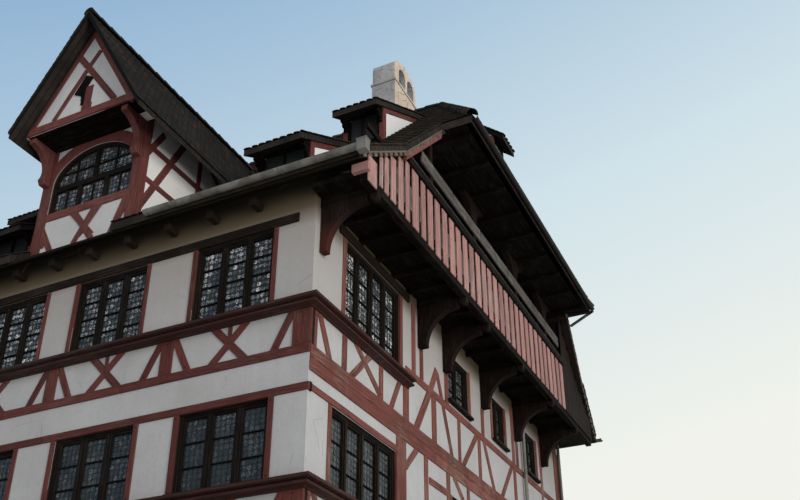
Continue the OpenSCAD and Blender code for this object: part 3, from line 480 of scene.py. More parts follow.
bpy.ops.mesh.primitive_torus_add(
    location=(portal_x + 0.49, -half_d + 0.19, 1.06), rotation=(math.radians(78), 0, 0), major_radius=0.05,
    minor_radius=0.008, major_segments=20, minor_segments=8)
bpy.ops.object.transform_apply()
hinges.select_set(True)
bpy.context.view_layer.objects.active = hinges
bpy.ops.object.join()
settle(hinges, iron)


# Plastered walls: lime plaster over the infill of the frame, trowelled a little uneven, with faint
# runs and hair cracks. It grows darker and browner towards the top of the upper storey. It is painted
# dark brown to nearly black under the eaves and the gallery, and nearly black in the window reveals,
# as painted shade. The cracks are the edges of broad cells, broken off by a slow noise.
hair_cracks, given, result = new_group("hair_cracks", {
    "Scale": 0.55, "Width": 0.005, "Patches": 2.0, "Detail": 5.0, "Low": 0.54, "High": 0.62}, ("Cracks",))
space = object_space(hair_cracks)
cells = node(hair_cracks, "TexVoronoi", {"Vector": space, "Scale": given["Scale"]},
             feature="DISTANCE_TO_EDGE")["Distance"]
rims = scaled(hair_cracks, cells, 0.0, given["Width"], 1, 0)
patches = noise(hair_cracks, space, given["Patches"], given["Detail"])
broken = scaled(hair_cracks, patches, given["Low"], given["High"])
hair_cracks.links.new(times(hair_cracks, rims, broken), result["Cracks"])


# A mask over a part of the house: for each limit an axis, where it starts and where it is full
def zone(tree, *limits):
    place = node(tree, "SeparateXYZ", {"Vector": object_space(tree)})
    mask = 1.0
    for axis, low, high, *span in limits:
        value = place[axis[-1]]
        if axis.startswith("+-"):
            value = sums(tree, "ABSOLUTE", value)
        mask = times(tree, scaled(tree, value, low, high, *span), mask)
    return mask


def plaster_finish(name, low, high, painted_shade_and_tints):
    material, tree, marks = new_finish(name, 0.55)
    base = mixed(tree, marks["Stains"], low, high)
    speckled = mixed(tree, scaled(tree, marks["Speckle"], 0, 1, 0, 0.25), base, [c * 0.8 for c in low])
    colour = mixed(tree, times(tree, marks["Streaks"], 0.12), speckled, [c * 0.6 for c in low])
    for zone_colour, *limits in painted_shade_and_tints:
        colour = mixed(tree, zone(tree, *limits), colour, zone_colour)
    crack = node(tree, "Group", node_tree=hair_cracks)[0]
    swell = times(tree, noise(tree, object_space(tree), 3.5, 3.0), 3.0)
    relief = sums(tree, "SUBTRACT", sums(tree, "ADD", swell, marks["Speckle"]), crack)
    surface(tree, mixed(tree, times(tree, crack, 0.4), colour, (0.2, 0.18, 0.15)),
            scaled(tree, marks["Speckle"], 0, 1, 0.85, 0.97), relief, 0.005, 0.5)
    return material


# Plaster colours by zone: darker towards the top of the upper storey, then painted shade under the eaves and
# the gallery and in the window reveals
eaves_shade_zone = ("Z", 13.4, 13.0)
plaster = plaster_finish("lime_plaster", (0.44, 0.435, 0.425), (0.52, 0.52, 0.515), [
    ((0.36, 0.32, 0.29), ("Z", 9.3, 11.6, 0, 0.8)), ((0.12, 0.092, 0.056), ("Z", 11.4, 11.85), eaves_shade_zone),
    ((0.018, 0.014, 0.008), ("Z", 11.85, 12.35), eaves_shade_zone),
    ((0.05, 0.032, 0.026), ("+-X", 6.219, 6.217), ("+-Y", 7.594, 7.592))])
# A lighter copy of the plaster for the dormers as painted light, lighter still on the big dormer's side
# towards the gable, with painted shade in the reveals of the dormer window
painted_light_plaster = plaster_finish("lime_plaster_painted_lighter", (0.56, 0.555, 0.55), (0.68, 0.67, 0.665), [
    ((0.86, 0.845, 0.82), ("X", 1.66, 1.668)),
    ((0.05, 0.02, 0.016), ("Y", -7.596, -7.592), ("Y", -7.2, -7.22), ("X", -1.0, -0.98), ("X", 1.5, 1.48),
     ("Z", 15.4, 15.38))])
finish_nodes(plaster, "wall_front", "wall_right", "wall_back", "wall_left", "attic_gables")
finish_nodes(painted_light_plaster, "dormer_walls", "small_dormers")


# Floors: wide spruce boards nailed over joists that bear on the walls, one floor to each storey, seen
# only through the gaps of the house.
boards_wood, tree, marks = new_finish("spruce_floor", 1.5)
board_lines = node(tree, "TexWave", {"Vector": object_space(tree), "Scale": 1.1}, bands_direction="Y")["Fac"]
floor_tone = mixed(tree, marks["Speckle"], (0.2, 0.14, 0.09), (0.36, 0.27, 0.18))
surface(tree, mixed(tree, scaled(tree, board_lines, 0.0, 0.05, 1, 0), floor_tone, (0.05, 0.035, 0.025)),
        scaled(tree, marks["Stains"], 0, 1, 0.6, 0.8))
finish_nodes(boards_wood, "floors")


# Eaves frames: oak posts, rails, struts and crossed braces in oxide red paint, hewn with the axe,
# halved into each other and pinned. They stand a little out of the plaster, with a dark rim that is dirt and
# a painted shadow gap.
eaves_red = wood_finish("oxide_red_paint", (0.115, 0.032, 0.026), (0.17, 0.1, 0.08), 0.4)
dark_brown = wood_finish("smoked_brown_timber", (0.016, 0.011, 0.008), (0.045, 0.036, 0.028), 0.5)
band_foot, band_top, low_band_top, head_foot, middle_rail = 8.735, 9.61, 6.29, 11.54, 8.02
band_rail, middle_rail_h, brace_w, post_w, corner_w, stud_w = 0.175, 0.145, 0.15, 0.29, 0.36, 0.09
rail_out, post_out, side_out, brace_out, counter_out = 0.029, 0.026, 0.024, 0.021, 0.023
timber_in, seam, line_w, brace_run, cross_run = -0.04, 0.006, 0.018, 0.35, 0.34
front_posts = [-half_l + corner_w / 2, -2.9, 0.235, 3.095, half_l - corner_w / 2]
front_upper = [(x, 9.8, 1.78, 1.74, 3, 4) for x in (-4.3, -1.245, 1.432, 4.443)]
front_lower = [(x, 6.47, 1.9, 1.56, 3, 3) for x in (-4.4, -1.395, 1.58, 4.5)]


def timber(side, u0, u1, v0, v1, outer, lean=0.0):
    return block(side, u0, u1, v0, v1, timber_in, outer, lean)


# A timber between two points of a wall, set to the middle of its width
def strut(side, start, end, width, outer, spare=0.0):
    run = Vector(end) - Vector(start)
    middle = (Vector(start) + Vector(end)) / 2
    half, foot = run.length / 2 + spare, middle.y - width / 2
    lean = math.atan2(run.y, run.x)
    return timber(side, middle.x - half, middle.x + half, foot, foot + width, outer, lean)


def pins(side, spots, outer, radius=0.014):
    return [block(side, u - radius, u + radius, v - radius, v + radius, outer - 0.01, outer + 0.004)
            for u, v in spots]


def peg():
    bpy.ops.object.select_all(action="DESELECT")
    bpy.ops.mesh.primitive_cylinder_add(vertices=8, radius=0.5, depth=1)
    with shaping(bpy.context.object):
        bpy.ops.mesh.bevel(offset=0.08, segments=1, affect="EDGES")
    return bpy.context.object


# Each timber a little larger all round and sunk, so that a dark rim shows at the plaster: dirt and a painted
# shadow gap
def dirt_and_shadow_rims(side, timbers):
    lines = []
    for place in timbers:
        long, wide, deep = (place.col[i].length for i in range(3))
        line = place @ Matrix.Diagonal((1 + line_w / long, 1 + line_w / wide, 1, 1))
        line.translation -= walls[side][2] * (deep / 2 + 0.017)
        lines.append(line)
    return lines


def raise_frame(side, timbers, head_beams, pegs, paint, axe, ease):
    build("oak_frame_" + side, timbers, paint, 3, axe, 0.007, "frame_" + side)
    build("window_head_beam_" + side, head_beams, dark_brown, 3, 0.008, ease)
    build("dirt_and_shadow_rims_" + side, dirt_and_shadow_rims(side, timbers), dark_brown)
    settle(lay_copies(peg(), pegs, "oak_pins_" + side), dark_brown)


for side in ("front", "back"):
    timbers, crosses, pegs = [], [], []
    reach = half_l + 0.025
    ends = [-reach, *[(a + b) / 2 + 0.4 for a, b in zip(front_posts[1:-2], front_posts[2:-1])], reach]
    for foot, head in ((band_foot, band_top), (stone_top, low_band_top)):
        bottom, halfway = foot + band_rail, (foot + band_rail + head) / 2
        for i, u in enumerate(front_posts):
            half = (corner_w if i in (0, 4) else post_w) / 2
            low, high = (-reach if i == 0 else u - half), (reach if i == 4 else u + half)
            timbers.append(timber(side, low, high, bottom, head, post_out))
            pegs += pins(side, [(u, head - 0.07), (u - 0.06, bottom + 0.06)], post_out)
        for low, high in zip(ends, ends[1:]):
            timbers.append(timber(side, low, high - seam, foot, bottom, rail_out))
        for i in range(4):
            u0 = front_posts[i] + (corner_w if i == 0 else post_w) / 2
            u1 = front_posts[i + 1] - (corner_w if i == 3 else post_w) / 2
            middle = (u0 + u1) / 2 - 0.04
            for start, end, out in (
                    ((u0 + 0.02, head), (u0 + 0.02 + brace_run, bottom), brace_out),
                    ((u1 - 0.02, head), (u1 - 0.02 - brace_run, bottom), brace_out),
                    ((middle - cross_run, bottom), (middle + cross_run, head), brace_out),
                    ((middle - cross_run, head), (middle + cross_run, bottom), counter_out)):
                crosses.append(strut(side, start, end, brace_w, out, 0.05))
            stud = middle - stud_w / 2
            crosses.append(timber(side, stud, stud + stud_w, halfway, head, brace_out - 0.004))
            feet = [(middle, halfway), (u0 + 0.33, bottom + 0.05), (u1 - 0.33, bottom + 0.05)]
            pegs += pins(side, feet, counter_out)
    for low, high in ((-reach, 0.3), (0.3 + seam, reach)):
        timbers.append(timber(side, low, high, middle_rail, middle_rail + middle_rail_h, rail_out))
    for windows, width in ((front_upper, 0.095), (front_lower, 0.11)):
        for u, v, w, h, *_ in windows:
            for edge in (u - w / 2 - width, u + w / 2):
                timbers.append(timber(side, edge, edge + width, v, v + h, side_out))
                pegs += pins(side, [(edge + width / 2, v + h - 0.08), (edge + width / 2, v + 0.12)], side_out)
    head_beams = [timber(side, low, high, head_foot, head_foot + 0.2, 0.03)
                  for low, high in ((0.35 - half_l, -0.8), (-0.8 + seam, half_l - 0.35))]
    raise_frame(side, timbers + crosses, head_beams, pegs, eaves_red, 0.007, 0.008)


# Gable frames: the same oak construction, freer in its braces, with a storey beam half a metre
# deep of two beams one on the other. The weather side is bleached to a paler, dusty red. Each rail
# and post has its two ends along the wall and its two heights.
gable_red = wood_finish("weathered_red_paint", (0.18, 0.06, 0.046), (0.27, 0.17, 0.13), 0.7)
gable_rails = [
    (-7.6, -3.81, 8.65, 8.9), (-3.804, -1.34, 8.65, 8.9), (-1.334, -0.26, 8.65, 8.9),
    (-0.254, 4.1, 8.65, 8.9),
    (4.106, 7.6, 8.65, 8.9), (-7.6, -2.2, 8.4, 8.645), (-2.194, 1.1, 8.4, 8.645), (1.106, 7.6, 8.4, 8.645),
    (-3.7, 1.9, 9.96, 10.13), (1.906, 7.6, 9.96, 10.13), (-7.6, -4.02, 8.04, 8.165), (-2.55, -1.6, 7.85, 8),
    (-3.72, 0.5, 6.64, 6.8), (0.506, 7.6, 6.64, 6.8), (-7.6, 0, 5.4, 5.575), (0.006, 7.6, 5.4, 5.575),
]
gable_posts = [
    (-7.6, -7.39, 8.9, 9.61), (-6.46, -6.29, 8.9, 9.61), (-4.94, -4.78, 8.9, 9.61),
    (-3.82, -3.57, 8.9, 9.96), (-3.37, -3.2, 10.13, 11.8), (-2.95, -2.8, 10.13, 11.8),
    (-2.34, -2.11, 8.9, 9.96), (-1.55, -1.35, 10.13, 11.8), (-0.82, -0.68, 8.9, 9.96),
    (0.49, 0.66, 8.9, 9.96), (0.8, 0.98, 10.13, 10.85), (3.14, 3.33, 8.9, 11.8), (3.46, 3.63, 10.13, 10.85),
    (5.64, 5.8, 5.4, 11.8), (7.15, 7.6, 5.4, 11.8), (-7.6, -7.39, 5.4, 6.29), (-6.46, -6.29, 5.4, 6.29),
    (-4.94, -4.78, 5.4, 6.29), (-4.16, -3.72, 5.4, 8.4), (-2.8, -2.62, 5.4, 8.4), (-1.59, -1.41, 5.4, 8.4),
    (-0.37, -0.22, 5.4, 8.4), (1.39, 1.56, 5.4, 8.4), (2.76, 2.93, 5.4, 8.4),
]
gable_braces = [
    ((-6.92, 8.88), (-7.3, 9.6), 0.16), ((-6.09, 8.88), (-5.34, 9.63), 0.15),
    ((-4.85, 8.93), (-5.92, 9.63), 0.15), ((-4.4, 8.89), (-3.99, 9.64), 0.15),
    ((-3.19, 8.88), (-2.4, 10.07), 0.21), ((-2.4, 10.07), (-2.03, 10.7), 0.19),
    ((-1.16, 8.75), (-1.98, 10.62), 0.15), ((-0.58, 8.84), (0.48, 10.03), 0.16),
    ((1.53, 8.89), (0.9, 10.01), 0.16), ((2.11, 8.88), (2.99, 9.93), 0.16),
    ((-3.7, 7.88), (-3.15, 8.43), 0.15), ((-0.63, 8.03), (-1.13, 8.4), 0.15),
    ((-6.83, 5.6), (-7.3, 6.29), 0.15), ((-6.15, 5.6), (-5.3, 6.29), 0.15),
    ((-5.02, 5.6), (-5.87, 6.29), 0.15), ((-3.5, 5.6), (-2.9, 6.64), 0.15),
    ((0.4, 5.6), (-0.1, 6.64), 0.15), ((2.2, 5.6), (2.7, 6.64), 0.15), ((4.6, 5.6), (3.8, 6.64), 0.15),
    ((6.1, 8.88), (6.9, 9.96), 0.15),
]
gable_upper = [
    (-5.19, 9.8, 2.42, 1.93, 4, 4), (-0.7, 10.21, 1.3, 1.3, 2, 3), (2.12, 10.27, 0.94, 1.25, 2, 3),
    (4.735, 10.19, 1.05, 1.3, 2, 3),
]
gable_lower = [
    (-5.475, 6.47, 2.62, 1.56, 4, 3), (-0.89, 6.8, 0.82, 1.15, 2, 3), (2.16, 6.8, 0.98, 1.15, 2, 3),
]
inset = half_d - 0.014
for side in ("right", "left"):
    timbers = [timber(side, max(u0, -inset), min(u1, inset), v0, v1, out)
               for group, out in ((gable_rails, rail_out), (gable_posts, post_out))
               for u0, u1, v0, v1 in group]
    for windows, width in ((gable_upper, 0.13), (gable_lower, 0.11)):
        for u, v, w, h, *_ in windows:
            timbers += [timber(side, edge, edge + width, v, v + h, side_out)
                        for edge in (u - w / 2 - width, u + w / 2)]
    pegs = []
    for i, (start, end, width) in enumerate(gable_braces):
        timbers.append(strut(side, start, end, width, brace_out if i % 2 else counter_out, 0.04))
        pegs += pins(side, [Vector(start) * 0.93 + Vector(end) * 0.07], counter_out)
    for u0, u1, v0, v1 in gable_posts:
        middle = (u0 + u1) / 2
        pegs += pins(side, [(middle - 0.04, v0 + 0.09), (middle + 0.04, v1 - 0.09)], post_out)
    head_beam = timber(side, -6.7, -3.53, 11.74, 11.94, 0.05)
    raise_frame(side, timbers, [head_beam], pegs, gable_red, 0.008, 0.01)


# Moulded sills: one run of oak moulding under the windows of each framed storey, mitred round the
# corner. Its face is a dark, worn red. The far gable has its runs mirrored.
def worked_copy(name, piece_name, along, edge, material, smooth=30):
    piece = bpy.data.objects.new(piece_name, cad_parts[name].data.copy())
    bpy.context.scene.collection.objects.link(piece)
    piece.data.materials.clear()
    with shaping(piece):
        bpy.ops.mesh.remove_doubles(threshold=0.0005)
        bpy.ops.mesh.dissolve_limited(angle_limit=math.radians(1))
    if edge:
        ease_edges(piece, edge, 1, smooth + 5)
    bpy.ops.object.shade_smooth_by_angle(angle=math.radians(smooth))
    lay_grain(piece, along)
    return settle(piece, material, name)


sill_red = wood_finish("dark_red_moulding", (0.05, 0.018, 0.015), (0.09, 0.06, 0.05), 0.5)
run_end = half_l - 0.1
for name in ("sills_lower", "sills_upper"):
    sill = worked_copy(name, "moulded_" + name, "x", 0.006, sill_red)
    far_run = bpy.data.objects.new("far_run", sill.data.copy())
    bpy.context.scene.collection.objects.link(far_run)
    with shaping(far_run):
        cut((run_end, 0, 0), (1, 0, 0), use_fill=True, clear_inner=True)
        cut((0, 0, 0), (0, 1, 0), clear_outer=True)
        bpy.ops.mesh.select_all(action="SELECT")
        bpy.ops.transform.resize(value=(-1, 1, 1), center_override=(0, 0, 0))
        bpy.ops.mesh.flip_normals()
    with shaping(sill):
        cut((-run_end, 0, 0), (1, 0, 0), use_fill=True, clear_inner=True)
    far_run.select_set(True)
    bpy.ops.object.join()


# Windows: dark oak frames with posts between their lights, a sash in each light and thin glazing
# bars across it, and a dark sill board in front. Small round panes of blown glass fill each field.
sash_wood = wood_finish("dark_painted_oak", (0.009, 0.007, 0.005), (0.035, 0.027, 0.021), 0.5, rough=0.6)
lead, tree, marks = new_finish("lead_and_dark_glass", 6.0)
surface(tree, mixed(tree, marks["Speckle"], (0.012, 0.013, 0.014), (0.045, 0.048, 0.05)),
        scaled(tree, marks["Stains"], 0, 1, 0.25, 0.5))
finish_nodes(lead, "glass_front", "glass_right", "glass_back", "glass_left")
# The round panes carry painted highlights: a swirl of white spots over dark blue grey glass, weaker on the
# lower storey and the dormer, and cut down as painted shade on the gable windows under the gallery
blown, tree, marks = new_finish("blown_roundels_painted_highlights")
space = object_space(tree)
swirl = noise(tree, space, 26.0, twist=1.2)
patch = noise(tree, space, 0.9)
painted_glint = times(tree, scaled(tree, swirl, 0.46, 0.58), scaled(tree, own_tone(tree), 0.1, 0.9, 0.15, 1.0))
painted_glint_level = times(tree, painted_glint, scaled(tree, patch, 0.36, 0.6, 0.45, 1.0))
painted_glint_level = times(tree, painted_glint_level, scaled(tree, zone(tree, ("X", 6.0, 6.02), ("Y", -2, -1.8)), 0, 1, 1, 0.2))
painted_glint_level = times(tree, painted_glint_level, zone(tree, ("Z", 8.5, 9.8, 0.15, 1.0), ("Z", 13, 13.5, 1, 0.5)))
shader = surface(tree, mixed(tree, painted_glint_level, (0.022, 0.03, 0.032), (1, 1, 1)),
                 scaled(tree, swirl, 0.3, 0.7, 0.06, 0.22))
shader["IOR"].default_value = 1.7
eaves_windows, gable_windows = front_upper + front_lower, gable_upper + gable_lower
all_windows = {"front": eaves_windows, "back": eaves_windows, "right": gable_windows, "left": gable_windows}
edge_w, post_t, sash_t, bar_t, roundel = 0.06, 0.07, 0.04, 0.022, 0.112
window_in, sash_in, window_out, sash_out = -0.13, -0.128, -0.05, -0.075
shutters, shutter_foot, shutter_top, shutter_half, shutter_board = (-3, 0, 3), 13.1, 14.3, 0.45, 0.15


# A round pane: an eight sided disc raised to a shoulder, with a boss in its middle
def round_pane():
    bpy.ops.object.select_all(action="DESELECT")
    bpy.ops.mesh.primitive_circle_add(vertices=8, radius=0.5, fill_type="NGON")
    with shaping(bpy.context.object):
        bpy.ops.mesh.inset(thickness=0.2, depth=0.12)
        bpy.ops.mesh.poke(offset=-0.05)
    bpy.ops.object.shade_smooth()
    return bpy.context.object


# A pane in its lead, tipped a little as it was set
def set_pane(side, u, v, wide, high, inner):
    place = block(side, u - wide / 2, u + wide / 2, v - high / 2, v + high / 2, inner, inner + 0.06)
    tip = Matrix.Rotation(random.gauss(0, 0.09), 4, "X") @ Matrix.Rotation(random.gauss(0, 0.09), 4, "Y")
    return place @ Matrix.Translation((0, 0, -0.42)) @ tip


# The middles of the panes that fill a field, with their spacing
def pane_grid(a, b, low, high):
    across, up = max(1, round((b - a) / roundel)), max(1, round((high - low) / roundel))
    du, dv = (b - a) / across, (high - low) / up
    return du, dv, [(a + (m + 0.5) * du, low + (n + 0.5) * dv) for m in range(across) for n in range(up)]


def bar(u0, u1, v0, v1, inner, outer):
    bars.append(block(side, u0, u1, v0, v1, inner, outer))


for side in walls:
    bars, panes, tones = [], [], []
    framed = all_windows[side]
    for u, v, w, h, lights, rows in framed + stone_windows[side]:
        u0, u1, top = u - w / 2, u + w / 2, v + h
        bottom, head = v + edge_w, top - edge_w
        for low, high in ((v, bottom), (head, top)):
            bar(u0, u1, low, high, window_in, -0.055)
        for edge in (u0, u1 - edge_w):
            bar(edge, edge + edge_w, v, top, window_in, window_out)
        field = (w - 2 * edge_w + post_t) / lights
        for i in range(lights):
            a = u0 + edge_w + i * field
            b = a + field - post_t
            if i:
                bar(a - post_t, a, bottom, head, window_in, window_out)
            for low, high in ((bottom, bottom + sash_t), (head - sash_t, head)):
                bar(a, b, low, high, sash_in, sash_out)
            for edge in (a, b - sash_t):
                bar(edge, edge + sash_t, bottom, head, sash_in, sash_out + 0.003)
            a, b, foot = a + sash_t, b - sash_t, bottom + sash_t
            row_h = (head - sash_t - foot + bar_t) / rows
            for k in range(rows):
                low = foot + k * row_h
                if k:
                    bar(a, b, low - bar_t, low, sash_in, -0.088)
                du, dv, spots = pane_grid(a, b, low, low + row_h - bar_t)
                size = min(du, dv) * 0.97
                for spot in spots:
                    panes.append(set_pane(side, *spot, size, size, -0.131))
                    tones.append(random.random() ** 1.3)
        if (u, v, w, h, lights, rows) in framed:
            bar(u0 - 0.07, u1 + 0.07, v - 0.01, v + 0.055, -0.1, 0.12)
        else:
            bar(u0, u1, v - 0.01, v + 0.03, -0.1, -0.02)
    for u in shutters if side in ("right", "left") else ():
        for i in range(6):
            edge = u - shutter_half + i * shutter_board
            bar(edge + 0.003, edge + shutter_board - 0.003, shutter_foot, shutter_top, -0.14, -0.1)
        for low in (shutter_foot + 0.2, shutter_foot + 0.9):
            bar(u - shutter_half + 0.05, u + shutter_half - 0.05, low, low + 0.1, -0.1, -0.07)
    build("oak_windows_" + side, bars, sash_wood, ease=0.005, stands_for="casements_" + side)
    settle(lay_copies(round_pane(), panes, "round_panes_" + side, np.array(tones)), blown)


# Gallery floor: joists out over the brackets, an edge beam and wide boards on them, all painted
# nearly black as painted shade.
gallery_x, gallery_y0, gallery_y1 = 7.425, -7.83, 7.4
joist_y, joist_foot, joist_top = (-7.35, -2.98, -1.56, 0.9, 3.45, 5.8), 11.85, 12.05
deck_top, edge_beam, deck_w, deck_l, deck_gap = 12.15, 0.16, 0.24, 3.8, 0.003
painted_shade_wood = wood_finish("painted_shade_black_wood", (0.004, 0.003, 0.002), (0.014, 0.011, 0.008), 0.5)


# A plain block between two opposite corners
def beam(x0, x1, y0, y1, z0, z1):
    place = Matrix.Diagonal((abs(x1 - x0), abs(y1 - y0), z1 - z0, 1))
    place.translation = ((x0 + x1) / 2, (y0 + y1) / 2, (z0 + z1) / 2)
    return place


inner_x = gallery_x - edge_beam
deck = [beam(inner_x, gallery_x, y0, y1, joist_foot, joist_top)
        for y0, y1 in ((gallery_y0, -0.6), (-0.594, gallery_y1))]
deck += [beam(half_l, inner_x, y - 0.09, y + 0.09, joist_foot, joist_top) for y in joist_y]
deck += [beam(half_l, inner_x, y - 0.05, y + 0.05, 11.93, joist_top)
         for a, b in zip(joist_y, joist_y[1:]) for y in np.arange(a + 0.75, b - 0.4, 0.75)]
for i in range(5):
    for j in range(4):
        x, y = half_l + i * deck_w + deck_gap, gallery_y0 + deck_l * j
        deck.append(beam(x, x + deck_w - 2 * deck_gap, y + deck_gap, y + deck_l, joist_top, deck_top))
        # One number is drawn for each butt joint, so that the boards and tiles that follow keep theirs
        if j:
            random.random()
build("gallery_deck", deck, painted_shade_wood, ease=0.008, stands_for="gallery_floor")


# Gallery brackets: curved oak knees cut from grown timber, one under each joist, with a rounded
# end where the joist passes through the edge beam, painted red. They are drawn nearly black as
# painted shade under the gallery. The lower tip of the first knee is a dark red and the ends out past
# the edge beam a pink red, where the light reaches them.
def recolour(material, colour, *limits):
    tree = material.node_tree
    base = tree.nodes["Principled BSDF"].inputs["Base Color"]
    tree.links.new(mixed(tree, zone(tree, *limits), base.links[0].from_socket, colour), base)


red_in_painted_shade = wood_finish("red_paint_in_painted_shade", (0.01, 0.006, 0.005), (0.02, 0.013, 0.01), 0.5)
recolour(red_in_painted_shade, (0.06, 0.019, 0.015), ("Y", -6.9, -7.0), ("Z", 11.55, 11.15))
recolour(red_in_painted_shade, (0.36, 0.19, 0.17), ("Y", -7.825, -7.835), ("Z", 11.98, 12.0))
worked_copy("gallery_brackets", "gallery_knees", "z", 0.012, red_in_painted_shade, 25)


# Parapet: upright boards nailed on two rails, cut to length by eye, in a faded pink red that
# differs from board to board; at the rear end they run up to the roof and are nearly black.
board_red = wood_finish(
    "faded_pink_boards", (0.4, 0.215, 0.19), (0.46, 0.34, 0.3), 0.75, cracks=0.5, stain=(0.08, 0.045, 0.04))
near_black_brown = wood_finish("near_black_rear_boards", (0.016, 0.011, 0.009), (0.045, 0.035, 0.028), 0.5)
gap_middles = [gallery_y0 - 0.03, -7.42, -7.22, -6.96, -6.63, -6.28, -6.0, -5.54, -5.21, -4.82]
gap_middles += [-4.82 + i * 0.395 for i in range(1, 25)]
loft_y, loft_w, board_t, parapet_top, nail = 4.66, 0.33, 0.03, 13.41, 0.009
main_slope, eave_slope, ridge_z = 1.0554, 0.6909, 20.4
break_y, break_z, eave_y, eave_z = 6.5, 13.54, 8.15, 12.4


def roof_height(y):
    return eave_z + (eave_y - abs(y)) * eave_slope if abs(y) > break_y else ridge_z - abs(y) * main_slope


boards, nails = [], []
for i, (a, b) in enumerate(zip(gap_middles, gap_middles[1:])):
    slit = (b - a) * 0.18
    y0, y1 = a + (slit if i else 0.03), b - slit
    foot = (11.83 if i == 0 else 12.0) + random.uniform(-0.012, 0.012)
    head = min(parapet_top, roof_height(y0) - 0.2)
    face = gallery_x + random.uniform(0, 0.006) + board_t
    boards.append(beam(face - board_t, face, y0, y1, foot, head))
    nails += [beam(face - 0.004, face + 0.004, y - nail, y + nail, z - nail, z + nail)
              for z in (12.31, 13.15) if z < head - 0.1 for y in (y0 + 0.05, y1 - 0.05)]
backing = [beam(gallery_x - 0.05, gallery_x - 0.03, y - 0.1, y + 0.1, 12.06, min(13.4, roof_height(y) - 0.22))
           for y in gap_middles[1:]]
backing += [beam(gallery_x - 0.06, gallery_x, gallery_y0, gallery_y1, z, z + 0.12) for z in (12.25, 13.09)]
build("parapet_boards", boards, board_red, 2, 0.005, 0.006, "gallery_parapet")
# The rails and the strips behind the gaps are nearly black: painted shade seen through the gaps
build("parapet_rails", backing, painted_shade_wood, 2, ease=0.008)
tall = []
for i in range(9):
    x, y0 = gallery_x + 0.002 * (i % 3), loft_y + i * loft_w
    y1 = min(y0 + loft_w - 0.012, gallery_y1)
    if y1 - y0 > 0.05:
        tall.append(beam(x, x + board_t, y0, y1, 12.0, min(15.06, roof_height(y1) - 0.19)))
build("rear_boards", tall, near_black_brown, 2, 0.006, 0.006)
settle(lay_copies(peg(), nails, "board_nails"), iron)


# Rails: a nearly black cap on the parapet boards with a thin pale strip along its top, and above it
# a loose grey board rail in three lengths held to the posts.
silver = wood_finish("silvered_boards", (0.0992, 0.0899, 0.0775), (0.255, 0.24, 0.217), 0.6)
cap_wood = wood_finish("nearly_black_cap", (0.006, 0.0055, 0.005), (0.03, 0.028, 0.024), 0.4)
cap_in, cap_top, lath_out, end_y = gallery_x - 0.06, 13.585, gallery_x + 0.095, loft_y - 0.02
caps = [beam(cap_in, gallery_x + 0.09, y0, y1 - 0.006, parapet_top, cap_top)
        for y0, y1 in ((-6.15, -2.6), (-2.6, 1.3), (1.3, end_y))]
build("cap_rail", caps, cap_wood, 3, ease=0.02, rounds=2)
strips = [beam(gallery_x + 0.01, lath_out, y0, y1 - 0.01, cap_top, 13.6)
          for y0, y1 in ((-6.1, -3.9), (-3.9, -1.0), (-1.0, 1.9), (1.9, end_y))]
breaks = [-5.3, -1.8, 2.15, loft_y - 0.04]
for y0, y1 in zip(breaks, breaks[1:]):
    middle = (y0 + y1) / 2
    for a, b in ((y0, middle), (middle, y1 - 0.015)):
        strips.append(beam(cap_in, gallery_x - 0.022, a, b - 0.006, 14.04, 14.19))
        strips.append(beam(gallery_x - 0.058, gallery_x - 0.02, a + 0.03, b - 0.02, 14.197, 14.35))
build("board_rail", strips, silver, 3, 0.006, 0.006, "gallery_rails")


# Gallery posts and ceiling: square posts with a pair of curved knees at the head of three of them,
# under joists and boards that close the hip's overhang from below, all nearly black as painted shade.
worked_copy("gallery_posts", "gallery_post_and_knees", "z", 0.012, red_in_painted_shade, 25)
ceiling_z, soffit_z, soffit_w = 15.06, 15.16, 0.2
slope_end = (ridge_z - 15.4) / main_slope
ceiling = [beam(half_l, 8.23, y - 0.07, y + 0.07, ceiling_z, soffit_z)
           for y in np.linspace(-slope_end + 0.3, slope_end - 0.3, 9)]
for i in range(10):
    x = half_l + i * soffit_w
    ceiling.append(beam(x + 0.003, x + soffit_w - 0.003, -slope_end, slope_end, soffit_z, soffit_z + 0.05))
build("gallery_soffit", ceiling, painted_shade_wood, ease=0.006, stands_for="gallery_ceiling")


# Roof timbers that show: red plates under the verge over the gallery, nearly black towards the rear
# as painted shade, beam ends under the eaves, and weathered green brown soffit boards that close the
# eaves from the wall to the gutter, made nearly black as painted shade.
bright_red = wood_finish("sunlit_red_paint", (0.15, 0.045, 0.038), (0.2, 0.11, 0.09), 0.5)
verge_red_shaded_rear = wood_finish("red_verge_paint_shaded_rear", (0.21, 0.07, 0.06), (0.26, 0.14, 0.12), 0.5)
recolour(verge_red_shaded_rear, (0.018, 0.012, 0.009), ("Y", -0.5, 0.5))
soffit_in_painted_shade = wood_finish("soffit_boards_painted_shade", (0.014, 0.011, 0.006), (0.035, 0.027, 0.017), 0.6)
worked_copy("verge_timbers", "verge_plates", "y", 0.012, verge_red_shaded_rear)
hew(worked_copy("beam_ends", "floor_beam_ends", "y", 0.018, dark_brown), 0.008)
worked_copy("eaves_boards", "eaves_lining", "x", 0, soffit_in_painted_shade)
fall = math.atan2(12.54 - 12.201, 0.49)
boards = []
for s in (-1, 1):
    for i in range(4):
        for j in range(4):
            run, board_size = 0.07 + i * 0.148, (3.5, 0.142, 0.018 + 0.004 * (i % 2), 1)
            place = Matrix.Translation((
                -4.905 + j * 3.52, s * (half_d + run * math.cos(fall)), 12.53 - run * math.sin(fall)))
            boards.append(place @ Matrix.Rotation(-s * fall, 4, "X") @ Matrix.Diagonal(board_size))
build("eaves_soffit_boards", boards, soffit_in_painted_shade, ease=0.004)


